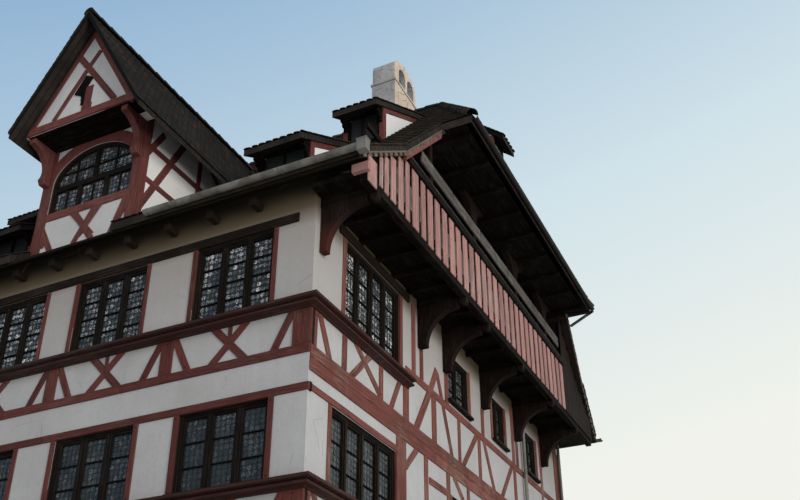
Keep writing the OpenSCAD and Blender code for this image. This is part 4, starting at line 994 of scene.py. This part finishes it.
# Chimney: a brick stack in lime render with a rounded head and two arched mouths over a small
# ledge. The render is grey, patched and cracked; where it faces the gable it is painted a pale sandy colour
# as painted sunlight.
chimney_render, tree, marks = new_finish("cracked_chimney_render", 1.6)
gable_facing = node(tree, "SeparateXYZ", {"Vector": node(tree, "NewGeometry")["Normal"]})["X"]
front_render = mixed(tree, marks["Stains"], (0.36, 0.37, 0.39), (0.56, 0.57, 0.6))
sunlit_render = mixed(tree, marks["Stains"], (0.78, 0.62, 0.44), (0.92, 0.82, 0.68))
body = mixed(tree, scaled(tree, gable_facing, 0.3, 0.7), front_render, sunlit_render)
spots = mixed(tree, times(tree, marks["Speckle"], 0.5), body, (0.3, 0.24, 0.19))
crack = node(tree, "Group", node_tree=hair_cracks, inputs={
    "Scale": 2.4, "Width": 0.03, "Patches": 5.0, "Detail": 4.0, "Low": 0.45, "High": 0.55})[0]
surface(tree, mixed(tree, times(tree, crack, 0.8), spots, (0.06, 0.05, 0.05)),
        scaled(tree, marks["Speckle"], 0, 1, 0.8, 0.95),
        sums(tree, "SUBTRACT", marks["Speckle"], times(tree, crack, 2.0)), 0.012)
worked_copy("chimney", "chimney_stack", "z", 0.03, chimney_render, 40)
chim_x, ledge_z = 4.18, 21.25
collar = []
for low, high, out in ((17.5, ledge_z, 0.016), (ledge_z, 21.32, 0.05)):
    for s in (-1, 1):
        collar.append(beam(chim_x - 0.37 - out, chim_x + 0.37 + out, s * 0.74, s * (0.75 + out), low, high))
        collar.append(beam(chim_x + s * 0.36, chim_x + s * (0.37 + out), -0.745, 0.745, low, high))
build("chimney_ledge", collar, chimney_render, 7, 0.016, 0.012)


# Big dormer walls: oak posts, rails and struts at its sides, and at its front a frame with a round
# arch over the window, all brighter red than the house because they stand in the sun.
dormer_l, dormer_r, dormer_mid, dormer_top, dormer_pitch = -1.14, 1.67, 0.4, 18.28, 1.7
dormer_foot, dormer_front_y = 12.6, 0.2 - half_d


def dormer_under(x):
    return dormer_top - abs(x - dormer_mid) * dormer_pitch


# Selects the corners of a piece by their place, for the next step in edit mode
def select_corners(piece, wanted):
    with shaping(piece):
        bpy.ops.mesh.select_mode(type="VERT")
        bpy.ops.mesh.select_all(action="DESELECT")
    for vertex in piece.data.vertices:
        vertex.select = wanted(*vertex.co)
    bpy.ops.object.mode_set(mode="EDIT")


front_frame = worked_copy("dormer_frame", "dormer_front_frame", "z", 0, bright_red)
select_corners(front_frame, lambda x, y, z: (
    y > -half_d + 0.01 or x > dormer_r + 0.001 or x < dormer_l - 0.001))
bpy.ops.mesh.delete(type="VERT")
bpy.ops.object.mode_set(mode="OBJECT")
ease_edges(front_frame, 0.012)
build("dormer_foot_timbers", [
    timber("front", dormer_l, -0.875, dormer_foot, 13.6, 0.031),
    timber("front", 1.455, dormer_r, dormer_foot, 13.6, 0.031),
    timber("front", -0.9, 1.5, 13.5, 13.7, 0.029),
    strut("front", (-0.065, 13.57), (0.6, 12.66), brace_w, 0.024),
    strut("front", (0.605, 13.61), (0.09, 12.66), brace_w, 0.022),
    strut("front", (1.425, 13.54), (1.12, 12.65), brace_w, 0.024),
    strut("front", (-1.045, 13.49), (-0.57, 12.66), brace_w, 0.024),
], bright_red, 2, 0.006, 0.008)
build("dormer_apron", [block("front", -1.13, 1.66, 12.62, 12.85, -0.05, 0.006)], painted_light_plaster)
timbers, pegs = [], []
for x, side in ((dormer_l, "left"), (dormer_r, "right")):
    to_wall = Matrix.Translation((x - math.copysign(half_l, x), 0, 0))
    plate = dormer_under(x)
    timbers += [to_wall @ place for place in (
        timber(side, -half_d - 0.026, 0.22 - half_d, 12.7, plate, 0.03),
        timber(side, -half_d, -4.3, plate - 0.17, plate, 0.027),
        timber(side, dormer_front_y, -5.35, 14.87, 15.02, 0.024),
        timber(side, dormer_front_y, -6.0, 13.985, 14.13, 0.024),
        timber(side, -5.7, -5.56, 14.3, plate - 0.1, 0.022),
        strut(side, (-7.44, 13.3), (-6.25, 15.795), 0.17, 0.02),
        strut(side, (-7.42, 14.75), (-6.98, 15.55), 0.15, 0.019),
        strut(side, (-4.75, 15.43), (-5.2, 15.7), 0.11, 0.018),
    )]
    spots = [(-7.5, plate - 0.08), (-7.45, 14.94), (-7.45, 14.06), (-5.63, 14.95), (-6.9, 14.43),
             (-6.6, 15.05)]
    pegs += [to_wall @ place for place in pins(side, spots, 0.028)]
build("dormer_side_frames", timbers, bright_red, 3, 0.007, 0.008)
settle(lay_copies(peg(), pegs, "dormer_pins"), dark_brown)


# Dormer gable: a plastered triangle between rafters, crossed struts and a short king post, on a
# beam that stands out over the window. Boards close it from below and curved knees carry it. The
# boards, and a board laid between the struts where the gable shows dark, are nearly black: painted shade.
panel = worked_copy("dormer_gable", "dormer_gable_panel", "z", 0, painted_light_plaster)
with shaping(panel):
    bpy.ops.transform.translate(value=(0, 0.03, 0))
forward = Matrix.Translation((0, -0.7, 0))
gable_foot, jetty_board, jetty_foot = 15.5, 0.14, 15.475
build("dormer_gable_timbers", [forward @ place for place in (
    strut("front", (dormer_mid, 18.07), (dormer_mid + 1.512, gable_foot), 0.22, 0.043),
    strut("front", (dormer_mid - 1.576, gable_foot), (dormer_mid, 18.18), 0.11, 0.041),
    timber("front", -1.17, 1.97, gable_foot, 15.7, 0.048),
    strut("front", (-0.04, 17.525), (1.32, 15.725), 0.15, 0.034),
    strut("front", (0.612, 17.435), (0.352, 17.045), 0.14, 0.03, 0.02),
    strut("front", (0.3, 16.96), (-0.45, 15.72), 0.14, 0.031),
    timber("front", 0.38, 0.6, 15.7, 16.42, 0.028),
    timber("front", 0.345, 0.64, 15.7, 15.9, 0.027),
)], bright_red, 3, 0.008, 0.01)
jetty = [beam(-1.16 if y < -7.9 else -1.1, 1.95 if y < -7.9 else 1.6, y + 0.002, y + jetty_board - 0.002,
              jetty_foot, gable_foot) for y in (-8.3, -8.16, -8.02, -7.88, -7.74)]
jetty.append(forward @ strut("front", (0.17, 16.24), (0.44, 16.72), 0.26, 0.037))
jetty.append(forward @ timber("front", 0.3, 0.4, 15.9, 16.4, 0.029))
build("dormer_jetty_boards", jetty, painted_shade_wood, ease=0.004)
worked_copy("dormer_brackets", "dormer_knees", "z", 0.012, bright_red, 25)


# Dormer window: an arched oak frame with posts and a transom, thin glazing bars, and round panes
arched = worked_copy("dormer_window", "dormer_arched_window", "x", 0, sash_wood)
arched.data.materials.append(lead)
for face in arched.data.polygons:
    face.material_index = int(face.center.y > -half_d + 0.119)
arch_mid, arch_half, arch_spring, arch_rise, bar_half = 0.29, 1.095, 14.5, 0.74, 0.014
window_foot, transom_foot, transom_top, window_top, cross_bar = 13.75, 14.33, 14.47, 15.24, 14.81


def in_arch(u, v, edge):
    if v < arch_spring:
        return abs(u - arch_mid) < arch_half - edge
    return ((u - arch_mid) / (arch_half - edge)) ** 2 + ((v - arch_spring) / (arch_rise - edge)) ** 2 < 1


side, bars, panes = "front", [], []
reach = arch_half * math.sqrt(1 - (0.32 / arch_rise) ** 2)
fields = [(a, b, window_foot, transom_foot) for a, b in ((-0.805, -0.143), (-0.053, 0.633), (0.723, 1.385))]
fields += [(a, b, transom_top, window_top) for a, b in ((-0.805, 0.245), (0.335, 1.385))]
for a, b, low, high in fields:
    du, dv, spots = pane_grid(a, b, low, high)
    panes += [set_pane(side, *spot, du * 0.94, dv * 0.94, -0.125) for spot in spots if in_arch(*spot, 0.03)]
    middle, upper = (a + b) / 2, low > arch_spring - 0.1
    curve = arch_spring + arch_rise * math.sqrt(1 - ((middle - arch_mid) / arch_half) ** 2)
    bar(middle - bar_half, middle + bar_half, low, curve if upper else high, -0.122, -0.075)
    if upper:
        bar(max(a, arch_mid - reach), min(b, arch_mid + reach), cross_bar, cross_bar + 0.022, -0.122, -0.08)
build("dormer_glazing_bars", bars, sash_wood, ease=0.004)
settle(lay_copies(round_pane(), panes, "dormer_round_panes"), blown)


# Small dormers: plastered cheeks, painted lighter as painted light, between a red corner post and a
# red plate under the shed roof, a boarded front with a small window, and curved brackets under the
# deep eave; front and brackets are nearly black as painted shade. Each has its middle, its width,
# how far out its front stands and how high its eave is over the slope.
small = [(x, 1.35, 6.2, 1.015) for x in (4.49, -3.56)] + [(x, 1.05, 4.5, 1.16) for x in (5.54, -4.91)]
shed_slope, shed_v, perch_half, perch_x = 0.577, 0.15, 0.4, 7.4
bracket_steps = ((0.05, 0.34, 0), (0.04, 0.26, 0.1), (0.04, 0.17, 0.19), (0.04, 0.08, 0.28))
hip_x, hip_y, hip_foot, hip_slope = 8.41, 4.851, 15.28, 1.9
perch_eave_x, perch_eave_z, perch_slope = 7.72, 18.25, 0.85


# Where the plane of a small dormer's roof, this high over its front, meets the main slope
def shed_meet(top, wall):
    return (top + wall * shed_slope - ridge_z) / (shed_slope - main_slope)


cheek_timbers, dark_timbers = [], []
for mid, width, wall, rise in small:
    foot = roof_height(wall)
    under = foot + rise - shed_v
    meet = shed_meet(under, wall)
    inner, light = width / 2 - 0.02, width / 2 - 0.17
    for s in (-1, 1):
        for x, side in ((-1, "left"), (1, "right")):
            to_cheek = Matrix.Translation((mid + x * (width / 2 - half_l), 0, 0))
            post = block(side, s * (wall + 0.02), s * (wall - 0.13), foot - 0.12, under, -0.1, 0.02)
            head, inner_end = under - 0.07, meet + 0.1
            top_end = (s * inner_end, head + (wall - inner_end) * shed_slope)
            cheek_timbers += [to_cheek @ post, to_cheek @ strut(side, (s * wall, head), top_end, 0.14, 0.017)]
            edge = mid + x * (width / 2 - 0.06)
            for half, out, drop in bracket_steps:
                low, tip = under - 0.16 - drop, s * (wall + out)
                dark_timbers.append(beam(edge - half, edge + half, tip, s * wall, low, low + 0.1))
        face = s * (wall + 0.012), s * (wall - 0.05)
        for low, high in ((foot - 0.05, foot + 0.18), (under - 0.09, under)):
            dark_timbers.append(beam(mid - inner, mid + inner, *face, low, high))
        for x0, x1 in ((-inner, -light), (light, inner), (-0.025, 0.025)):
            dark_timbers.append(beam(mid + x0, mid + x1, *face, foot + 0.18, under - 0.09))
perch_foot = hip_foot + (hip_x - perch_x) * hip_slope
perch_under = perch_eave_z + (perch_eave_x - perch_x) * perch_slope - shed_v
front = perch_x - 0.05, perch_x + 0.015
for s in (-1, 1):
    corner = s * (perch_half - 0.1), s * (perch_half + 0.02)
    cheek_timbers.append(beam(perch_x - 0.13, perch_x + 0.02, *corner, perch_foot - 0.1, perch_under))
    dark_timbers.append(beam(*front, s * 0.23, s * 0.38, perch_foot, perch_under))
for low, high in ((perch_foot - 0.05, perch_foot + 0.17), (perch_under - 0.17, perch_under)):
    dark_timbers.append(beam(*front, -0.38, 0.38, low, high))
build("small_dormer_timbers", cheek_timbers, bright_red, 2, 0.006, 0.008)
build("small_dormer_fronts", dark_timbers, painted_shade_wood, ease=0.008)
finish_nodes(lead, "small_dormer_windows")


# Roof tiles: flat clay tiles with a rounded lower end, hung in rows half a tile apart, each row
# lapped over the one below. Old dark clay, some tiles redder, with dark stains and patches of lichen.
clay, tree, marks = new_finish("old_clay_tiles", 0.8)
fired = mixed(tree, own_tone(tree), (0.018, 0.016, 0.012), (0.045, 0.036, 0.027))
redder = mixed(tree, scaled(tree, own_tone(tree), 0.88, 0.95), fired, (0.085, 0.042, 0.03))
sooted = mixed(tree, times(tree, marks["Stains"], 0.6), redder, (0.014, 0.013, 0.012))
lichen = times(tree, scaled(tree, marks["Speckle"], 0.72, 0.9), scaled(tree, marks["Stains"], 0.5, 0.1))
surface(tree, mixed(tree, times(tree, lichen, 0.7), sooted, (0.13, 0.125, 0.1)),
        scaled(tree, marks["Speckle"], 0, 1, 0.7, 0.92), marks["Speckle"], 0.004)
# The roof boards, seen at the slab edges and from below, are nearly black: painted shade
battens, tree, marks = new_finish("roof_boards_in_painted_shade", 2.0)
seams = node(tree, "TexWave", {"Vector": object_space(tree), "Scale": 2.1}, bands_direction="Y")["Fac"]
boarding = mixed(tree, marks["Stains"], (0.016, 0.012, 0.01), (0.04, 0.03, 0.024))
surface(tree, mixed(tree, scaled(tree, seams, 0.0, 0.08, 1, 0), boarding, (0.004, 0.003, 0.003)),
        scaled(tree, marks["Speckle"], 0, 1, 0.75, 0.95))
finish_nodes(battens, "roof_back", "half_hips", "dormer_roof", "small_dormer_roofs")


# The roof and the gutter stop at the big dormer, whose front stands straight up from the house wall
def cut_out(piece, low, high):
    low, high = Vector(low), Vector(high)
    bpy.ops.object.select_all(action="DESELECT")
    bpy.ops.mesh.primitive_cube_add(size=1, location=(low + high) / 2, scale=high - low)
    cutter = bpy.context.object
    work(piece, "BOOLEAN", operation="DIFFERENCE", object=cutter, solver="EXACT")
    bpy.data.objects.remove(cutter)


front_slab = worked_copy("roof_front", "roof_front_boards", "x", 0, battens)
cut_out(front_slab, (dormer_l, -8.3, 12), (dormer_r, 0.001 - half_d, 14))
tile_w, tile_l, tile_t, lap, lift, far_x, verge = 0.178, 0.25, 0.015, 0.155, 0.03, 6.725, 0.035


def flat_tile():
    bpy.ops.object.select_all(action="DESELECT")
    bpy.ops.mesh.primitive_circle_add(vertices=8, radius=0.5, fill_type="NGON")
    tile = bpy.context.object
    select_corners(tile, lambda x, y, z: y > 0.1)
    bpy.ops.transform.resize(value=(1.414, 1, 1), center_override=(0, 0, 0))
    bpy.ops.transform.translate(value=(0, 0.42, 0))
    bpy.ops.mesh.select_all(action="SELECT")
    bpy.ops.transform.resize(value=(1, 0.72, 1), center_override=(0, 0, 0))
    bpy.ops.transform.translate(value=(0, 0.36, 0))
    bpy.ops.mesh.extrude_region_move(TRANSFORM_OT_translate={"value": (0, 0, 1)})
    bpy.ops.mesh.select_all(action="SELECT")
    bpy.ops.mesh.normals_make_consistent(inside=False)
    bpy.ops.object.mode_set(mode="OBJECT")
    return tile


# Places that the rows leave out: inside the chimney, and in and under the dormers
def hidden(x, y, z):
    if abs(x - chim_x) < 0.38 and abs(y) < 0.76:
        return True
    if dormer_l - 0.05 < x < dormer_r + 0.05 and y < -half_d + 0.15:
        return True
    if dormer_l < x < dormer_r and -half_d < y < 0 and z < dormer_under(x) + 0.1:
        return True
    for mid, width, wall, rise in small:
        top = roof_height(wall) + rise + (wall - abs(y)) * shed_slope
        if abs(x - mid) < width / 2 and abs(y) < wall and z < top - 0.04:
            return True
    return x > 6.4 and abs(y) < perch_half and x < perch_x and z < 18.2 + (perch_eave_x - x) * perch_slope


# Rows of tiles over a flat field, whose corners run anticlockwise from the left end of its eave
def tile_field(corners, over, leave_out):
    corners = [Vector(corner) for corner in corners]
    across = (corners[1] - corners[0]).normalized()
    normal = across.cross(corners[2] - corners[1]).normalized()
    rise = normal.cross(across)
    flat = [((c - corners[0]).dot(across), (c - corners[0]).dot(rise)) for c in corners]
    places = []
    row, level = 0, -0.03
    while level < max(b for a, b in flat) - 0.05:
        height = max(level + 0.1, 0.001)
        reach = [a0 + (a1 - a0) * (height - b0) / (b1 - b0)
                 for (a0, b0), (a1, b1) in zip(flat, flat[1:] + flat[:1])
                 if (b0 - height) * (b1 - height) < 0]
        if len(reach) > 1:
            left, right = min(reach) - over[0], max(reach) + over[1]
            first = math.floor(left / tile_w) - 1
            joints = np.arange(first, right / tile_w + 1) * tile_w + row % 2 * tile_w / 2
            edges = [left, *[edge for edge in joints if left + 0.05 < edge < right - 0.05], right]
            for a, b in zip(edges, edges[1:]):
                middle = (a + b) / 2 + random.uniform(-0.003, 0.003)
                spot = corners[0] + across * middle + rise * (level + random.uniform(-0.006, 0.006))
                if leave_out and hidden(*(spot + rise * 0.08)):
                    continue
                tilt = math.radians(6 + random.uniform(-0.5, 0.7))
                long = rise * math.cos(tilt) - normal * math.sin(tilt)
                top = normal * math.cos(tilt) + rise * math.sin(tilt)
                place = Matrix((across * (b - a) * 0.975, long * tile_l, top * tile_t)).transposed().to_4x4()
                place.translation = spot + normal * (lift + random.uniform(0, 0.003))
                places.append(place)
        row, level = row + 1, level + lap
    return places


def turned(corners):
    corners = [(x, -y, z) for x, y, z in corners]
    return [corners[1], corners[0], *corners[:1:-1]]


# How far out the main slope is at a height
def meets(z):
    return -(ridge_z - z) / main_slope


ridge_end, left_end, eave_end, break_end, verge_end = 5.715, -4.03, 7.42, 7.565, 7.7
lower = [(-far_x, -eave_y, eave_z), (eave_end, -eave_y, eave_z), (break_end, -break_y, break_z),
         (-far_x, -break_y, break_z)]
hip_corner, far_corner = (hip_x, -hip_y, hip_foot), (-far_x, -hip_y, hip_foot)
ridge_tip, far_tip = (ridge_end, 0, ridge_z), (left_end, 0, ridge_z)
upper = [(-far_x, -break_y, break_z), (break_end, -break_y, break_z), (verge_end, -hip_y, hip_foot),
         hip_corner, ridge_tip, far_tip, far_corner]
hips = [([hip_corner, (hip_x, hip_y, hip_foot), ridge_tip], (0, 0)),
        ([(-far_x, hip_y, hip_foot), far_corner, far_tip], (0, 0))]
dormer_front, dormer_ridge = -8.68, 18.42
left_x, right_x = dormer_mid - 1.76, dormer_mid + 2.0
left_z, right_z = dormer_ridge - 1.76 * dormer_pitch, dormer_ridge - 2.0 * dormer_pitch
ridge_front, ridge_back = [(dormer_mid, y, dormer_ridge) for y in (dormer_front, meets(dormer_ridge))]
left_slope = [(left_x, meets(left_z), left_z), (left_x, dormer_front, left_z), ridge_front, ridge_back]
right_slope = [(right_x, dormer_front, right_z), (right_x, meets(right_z), right_z), ridge_back, ridge_front]
sheds = []
for mid, width, wall, rise in small:
    top = roof_height(wall) + rise
    x0, x1, meet = mid - width / 2 - 0.06, mid + width / 2 + 0.06, shed_meet(top, wall)
    y0, z0, z1 = wall + 0.5, top - 0.5 * shed_slope, top + (wall - meet) * shed_slope
    shed = [(x0, -y0, z0), (x1, -y0, z0), (x1, -meet, z1), (x0, -meet, z1)]
    sheds += [(shed, (verge, verge)), (turned(shed), (verge, verge))]
perch_gap = hip_foot + hip_x * hip_slope - perch_eave_z - perch_eave_x * perch_slope
perch_meet = perch_gap / (hip_slope - perch_slope)
perch_top = perch_eave_z + (perch_eave_x - perch_meet) * perch_slope
sheds.append(([(perch_eave_x, -0.45, perch_eave_z), (perch_eave_x, 0.45, perch_eave_z),
               (perch_meet, 0.45, perch_top), (perch_meet, -0.45, perch_top)], (verge, verge)))
for name, fields, leave_out in (
        ("tiles_front_eaves", [(lower, (verge, verge))], True),
        ("tiles_front_slope", [(upper, (0, 0))], True),
        ("tiles_back_eaves", [(turned(lower), (verge, verge))], True),
        ("tiles_back_slope", [(turned(upper), (0, 0))], True),
        ("tiles_hips", hips, True),
        ("tiles_dormer", [(left_slope, (0, verge)), (right_slope, (verge, 0))], False),
        ("tiles_small_dormers", sheds, False)):
    places = [place for corners, over in fields for place in tile_field(corners, over, leave_out)]
    settle(lay_copies(flat_tile(), places, name), clay)


# Ridge and hip tiles: tapered half round tiles bedded in mortar along each ridge and hip, each one
# lapped over the narrow end of the one before it.
def sleeve(vertices, radius, spot=(0, 0, 0)):
    bpy.ops.object.select_all(action="DESELECT")
    bpy.ops.mesh.primitive_cylinder_add(
        vertices=vertices, radius=radius, depth=1, end_fill_type="NOTHING", location=spot,
        rotation=(0, math.pi / 2, 0))
    bpy.ops.object.transform_apply()
    return bpy.context.object


def half_round():
    tile = sleeve(16, 0.5, (0.5, 0, 0))
    with shaping(tile):
        cut((0, 0, -0.05), (0, 0, 1), clear_inner=True)
    select_corners(tile, lambda x, y, z: x > 0.5)
    bpy.ops.transform.resize(value=(1, 0.82, 0.82), center_override=(1, 0, 0))
    bpy.ops.object.mode_set(mode="OBJECT")
    work(tile, "SOLIDIFY", thickness=0.07)
    bpy.ops.object.shade_smooth_by_angle(angle=math.radians(40))
    return tile


def along(start, end, width=0.29, step=0.34):
    start, end = Vector(start), Vector(end)
    run = (end - start).normalized()
    side = Vector((0, 0, 1)).cross(run).normalized()
    up = run.cross(side)
    places = []
    for i in range(int((end - start).length / step)):
        lean = Matrix.Rotation(random.uniform(-0.03, 0.03), 4, "Z")
        place = Matrix((run * (step + 0.06), side * width, up * width)).transposed().to_4x4() @ lean
        place.translation = start + run * i * step + up * random.uniform(0, 0.008)
        places.append(place)
    return places


ridge_bed, hip_bed, dormer_bed = 20.37, 20.36, 18.4
lines = [((x0, 0, ridge_bed), (x1, 0, ridge_bed)) for x0, x1 in ((left_end, 3.8), (4.57, ridge_end + 0.1))]
lines.append(((dormer_mid, dormer_front - 0.02, dormer_bed), (dormer_mid, meets(dormer_bed), dormer_bed)))
for y in (-hip_y, hip_y):
    for x, end in ((hip_x + 0.02, ridge_end), (-far_x - 0.02, left_end)):
        lines.append(((x, y * 1.005, hip_foot - 0.02), (end, 0, hip_bed)))
ridge_places = [place for line in lines for place in along(*line)]
settle(lay_copies(half_round(), ridge_places, "ridge_and_hip_tiles"), clay, "ridge_tiles")


# Verge battens: a pale batten nailed along the gable edge of the slopes, with short blocks under it
# that carry the last row of tiles.
def verge_row(start, end, step, long, high, drop, out):
    run = (end - start).normalized()
    normal = Vector((1, 0, 0)).cross(run).normalized()
    up = normal if normal.z > 0 else -normal
    places = []
    for i in range(max(1, round((end - start).length / step))):
        place = Matrix((run.cross(normal) * out, run * long, normal * high)).transposed().to_4x4()
        place.translation = start + run * (i + 0.5) * step - up * drop
        places.append(place)
    return places


teeth = []
for s in (-1, 1):
    knots = [Vector(knot) for knot in (
        (eave_end, s * eave_y, eave_z), (break_end, s * break_y, break_z), (verge_end, s * hip_y, hip_foot))]
    for start, end in zip(knots, knots[1:]):
        long = (end - start).length
        teeth += verge_row(start, end, long, long, 0.035, 0.125, 0.05)
        teeth += verge_row(start, end, 0.225, 0.12, 0.075, 0.175, 0.04)
pale_wood = wood_finish("pale_battens", (0.13, 0.1, 0.08), (0.19, 0.15, 0.12), 0.5)
build("verge_battens", teeth, pale_wood, ease=0.006)


# Rain goods: half round zinc gutters hung in hoops along the eaves, with soldered joints, and round
# downpipes held to the walls by clamps, all dull and streaked.
zinc, tree, marks = new_finish("weathered_zinc", 1.8)
dull = mixed(tree, marks["Stains"], (0.13, 0.12, 0.1), (0.26, 0.25, 0.22))
surface(tree, mixed(tree, times(tree, marks["Streaks"], 0.7), dull, (0.06, 0.05, 0.04)),
        scaled(tree, marks["Speckle"], 0, 1, 0.45, 0.7))["Metallic"].default_value = 0.25
# The gutter along the hip over the gallery is drawn nearly black
recolour(zinc, (0.02, 0.018, 0.015), ("X", 8.3, 8.35))
finish_nodes(zinc, "downpipes")
open_gutters = worked_copy("gutters", "eaves_gutters", "x", 0, zinc)
cut_out(open_gutters, (-2.3, -8.5, 12.1), (2.62, -8.05, 12.6))


def hoop():
    ring = sleeve(20, 1)
    work(ring, "SOLIDIFY", thickness=0.06)
    return ring


def half_hoop():
    ring = hoop()
    with shaping(ring):
        cut((0, 0, 0.02), (0, 0, 1), use_fill=True, clear_outer=True)
    return ring


def band(place, length, radius):
    return place @ Matrix.Diagonal((length, radius, radius, 1))


hoop_step, clamp_step = 0.77, 2.05
hoops = []
for s in (-1, 1):
    for i in range(19):
        x = -6.5 + i * hoop_step
        if s < 0 and -2.35 < x < 2.65:
            continue
        hoops.append(band(Matrix.Translation((x, s * 8.235, 12.34)), 0.028, 0.0905))
        if i % 4 == 2:
            hoops.append(band(Matrix.Translation((x + 0.2, s * 8.235, 12.34)), 0.06, 0.088))
for i in range(12):
    spot = Matrix.Translation((8.48, -4.62 + i * 0.84, 15.22)) @ Matrix.Rotation(math.pi / 2, 4, "Z")
    hoops.append(band(spot, 0.028, 0.0745))
clamps, stays = [], []
for x, y, stayed in ((6.325, 7.45, 6), (-6.325, -7.45, 6), (6.325, 3.93, 5)):
    for i in range(6):
        z = 1 + i * clamp_step
        clamps.append(band(Matrix.Translation((x, y, z)) @ Matrix.Rotation(math.pi / 2, 4, "Y"), 0.03, 0.056))
        if i < stayed:
            stays.append(beam(math.copysign(half_l, x), x, y - 0.008, y + 0.008, z - 0.01, z + 0.01))
box = [beam(7.45, 7.65, -8.33, -8.17, 12.16, 12.41), beam(7.44, 7.66, -8.34, -8.16, 12.39, 12.42)]
settle(lay_copies(half_hoop(), hoops, "gutter_hoops"), zinc)
settle(lay_copies(hoop(), clamps, "pipe_clamps"), zinc)
build("pipe_stays", stays, zinc)
build("gutter_end_box", box, zinc, ease=0.008)
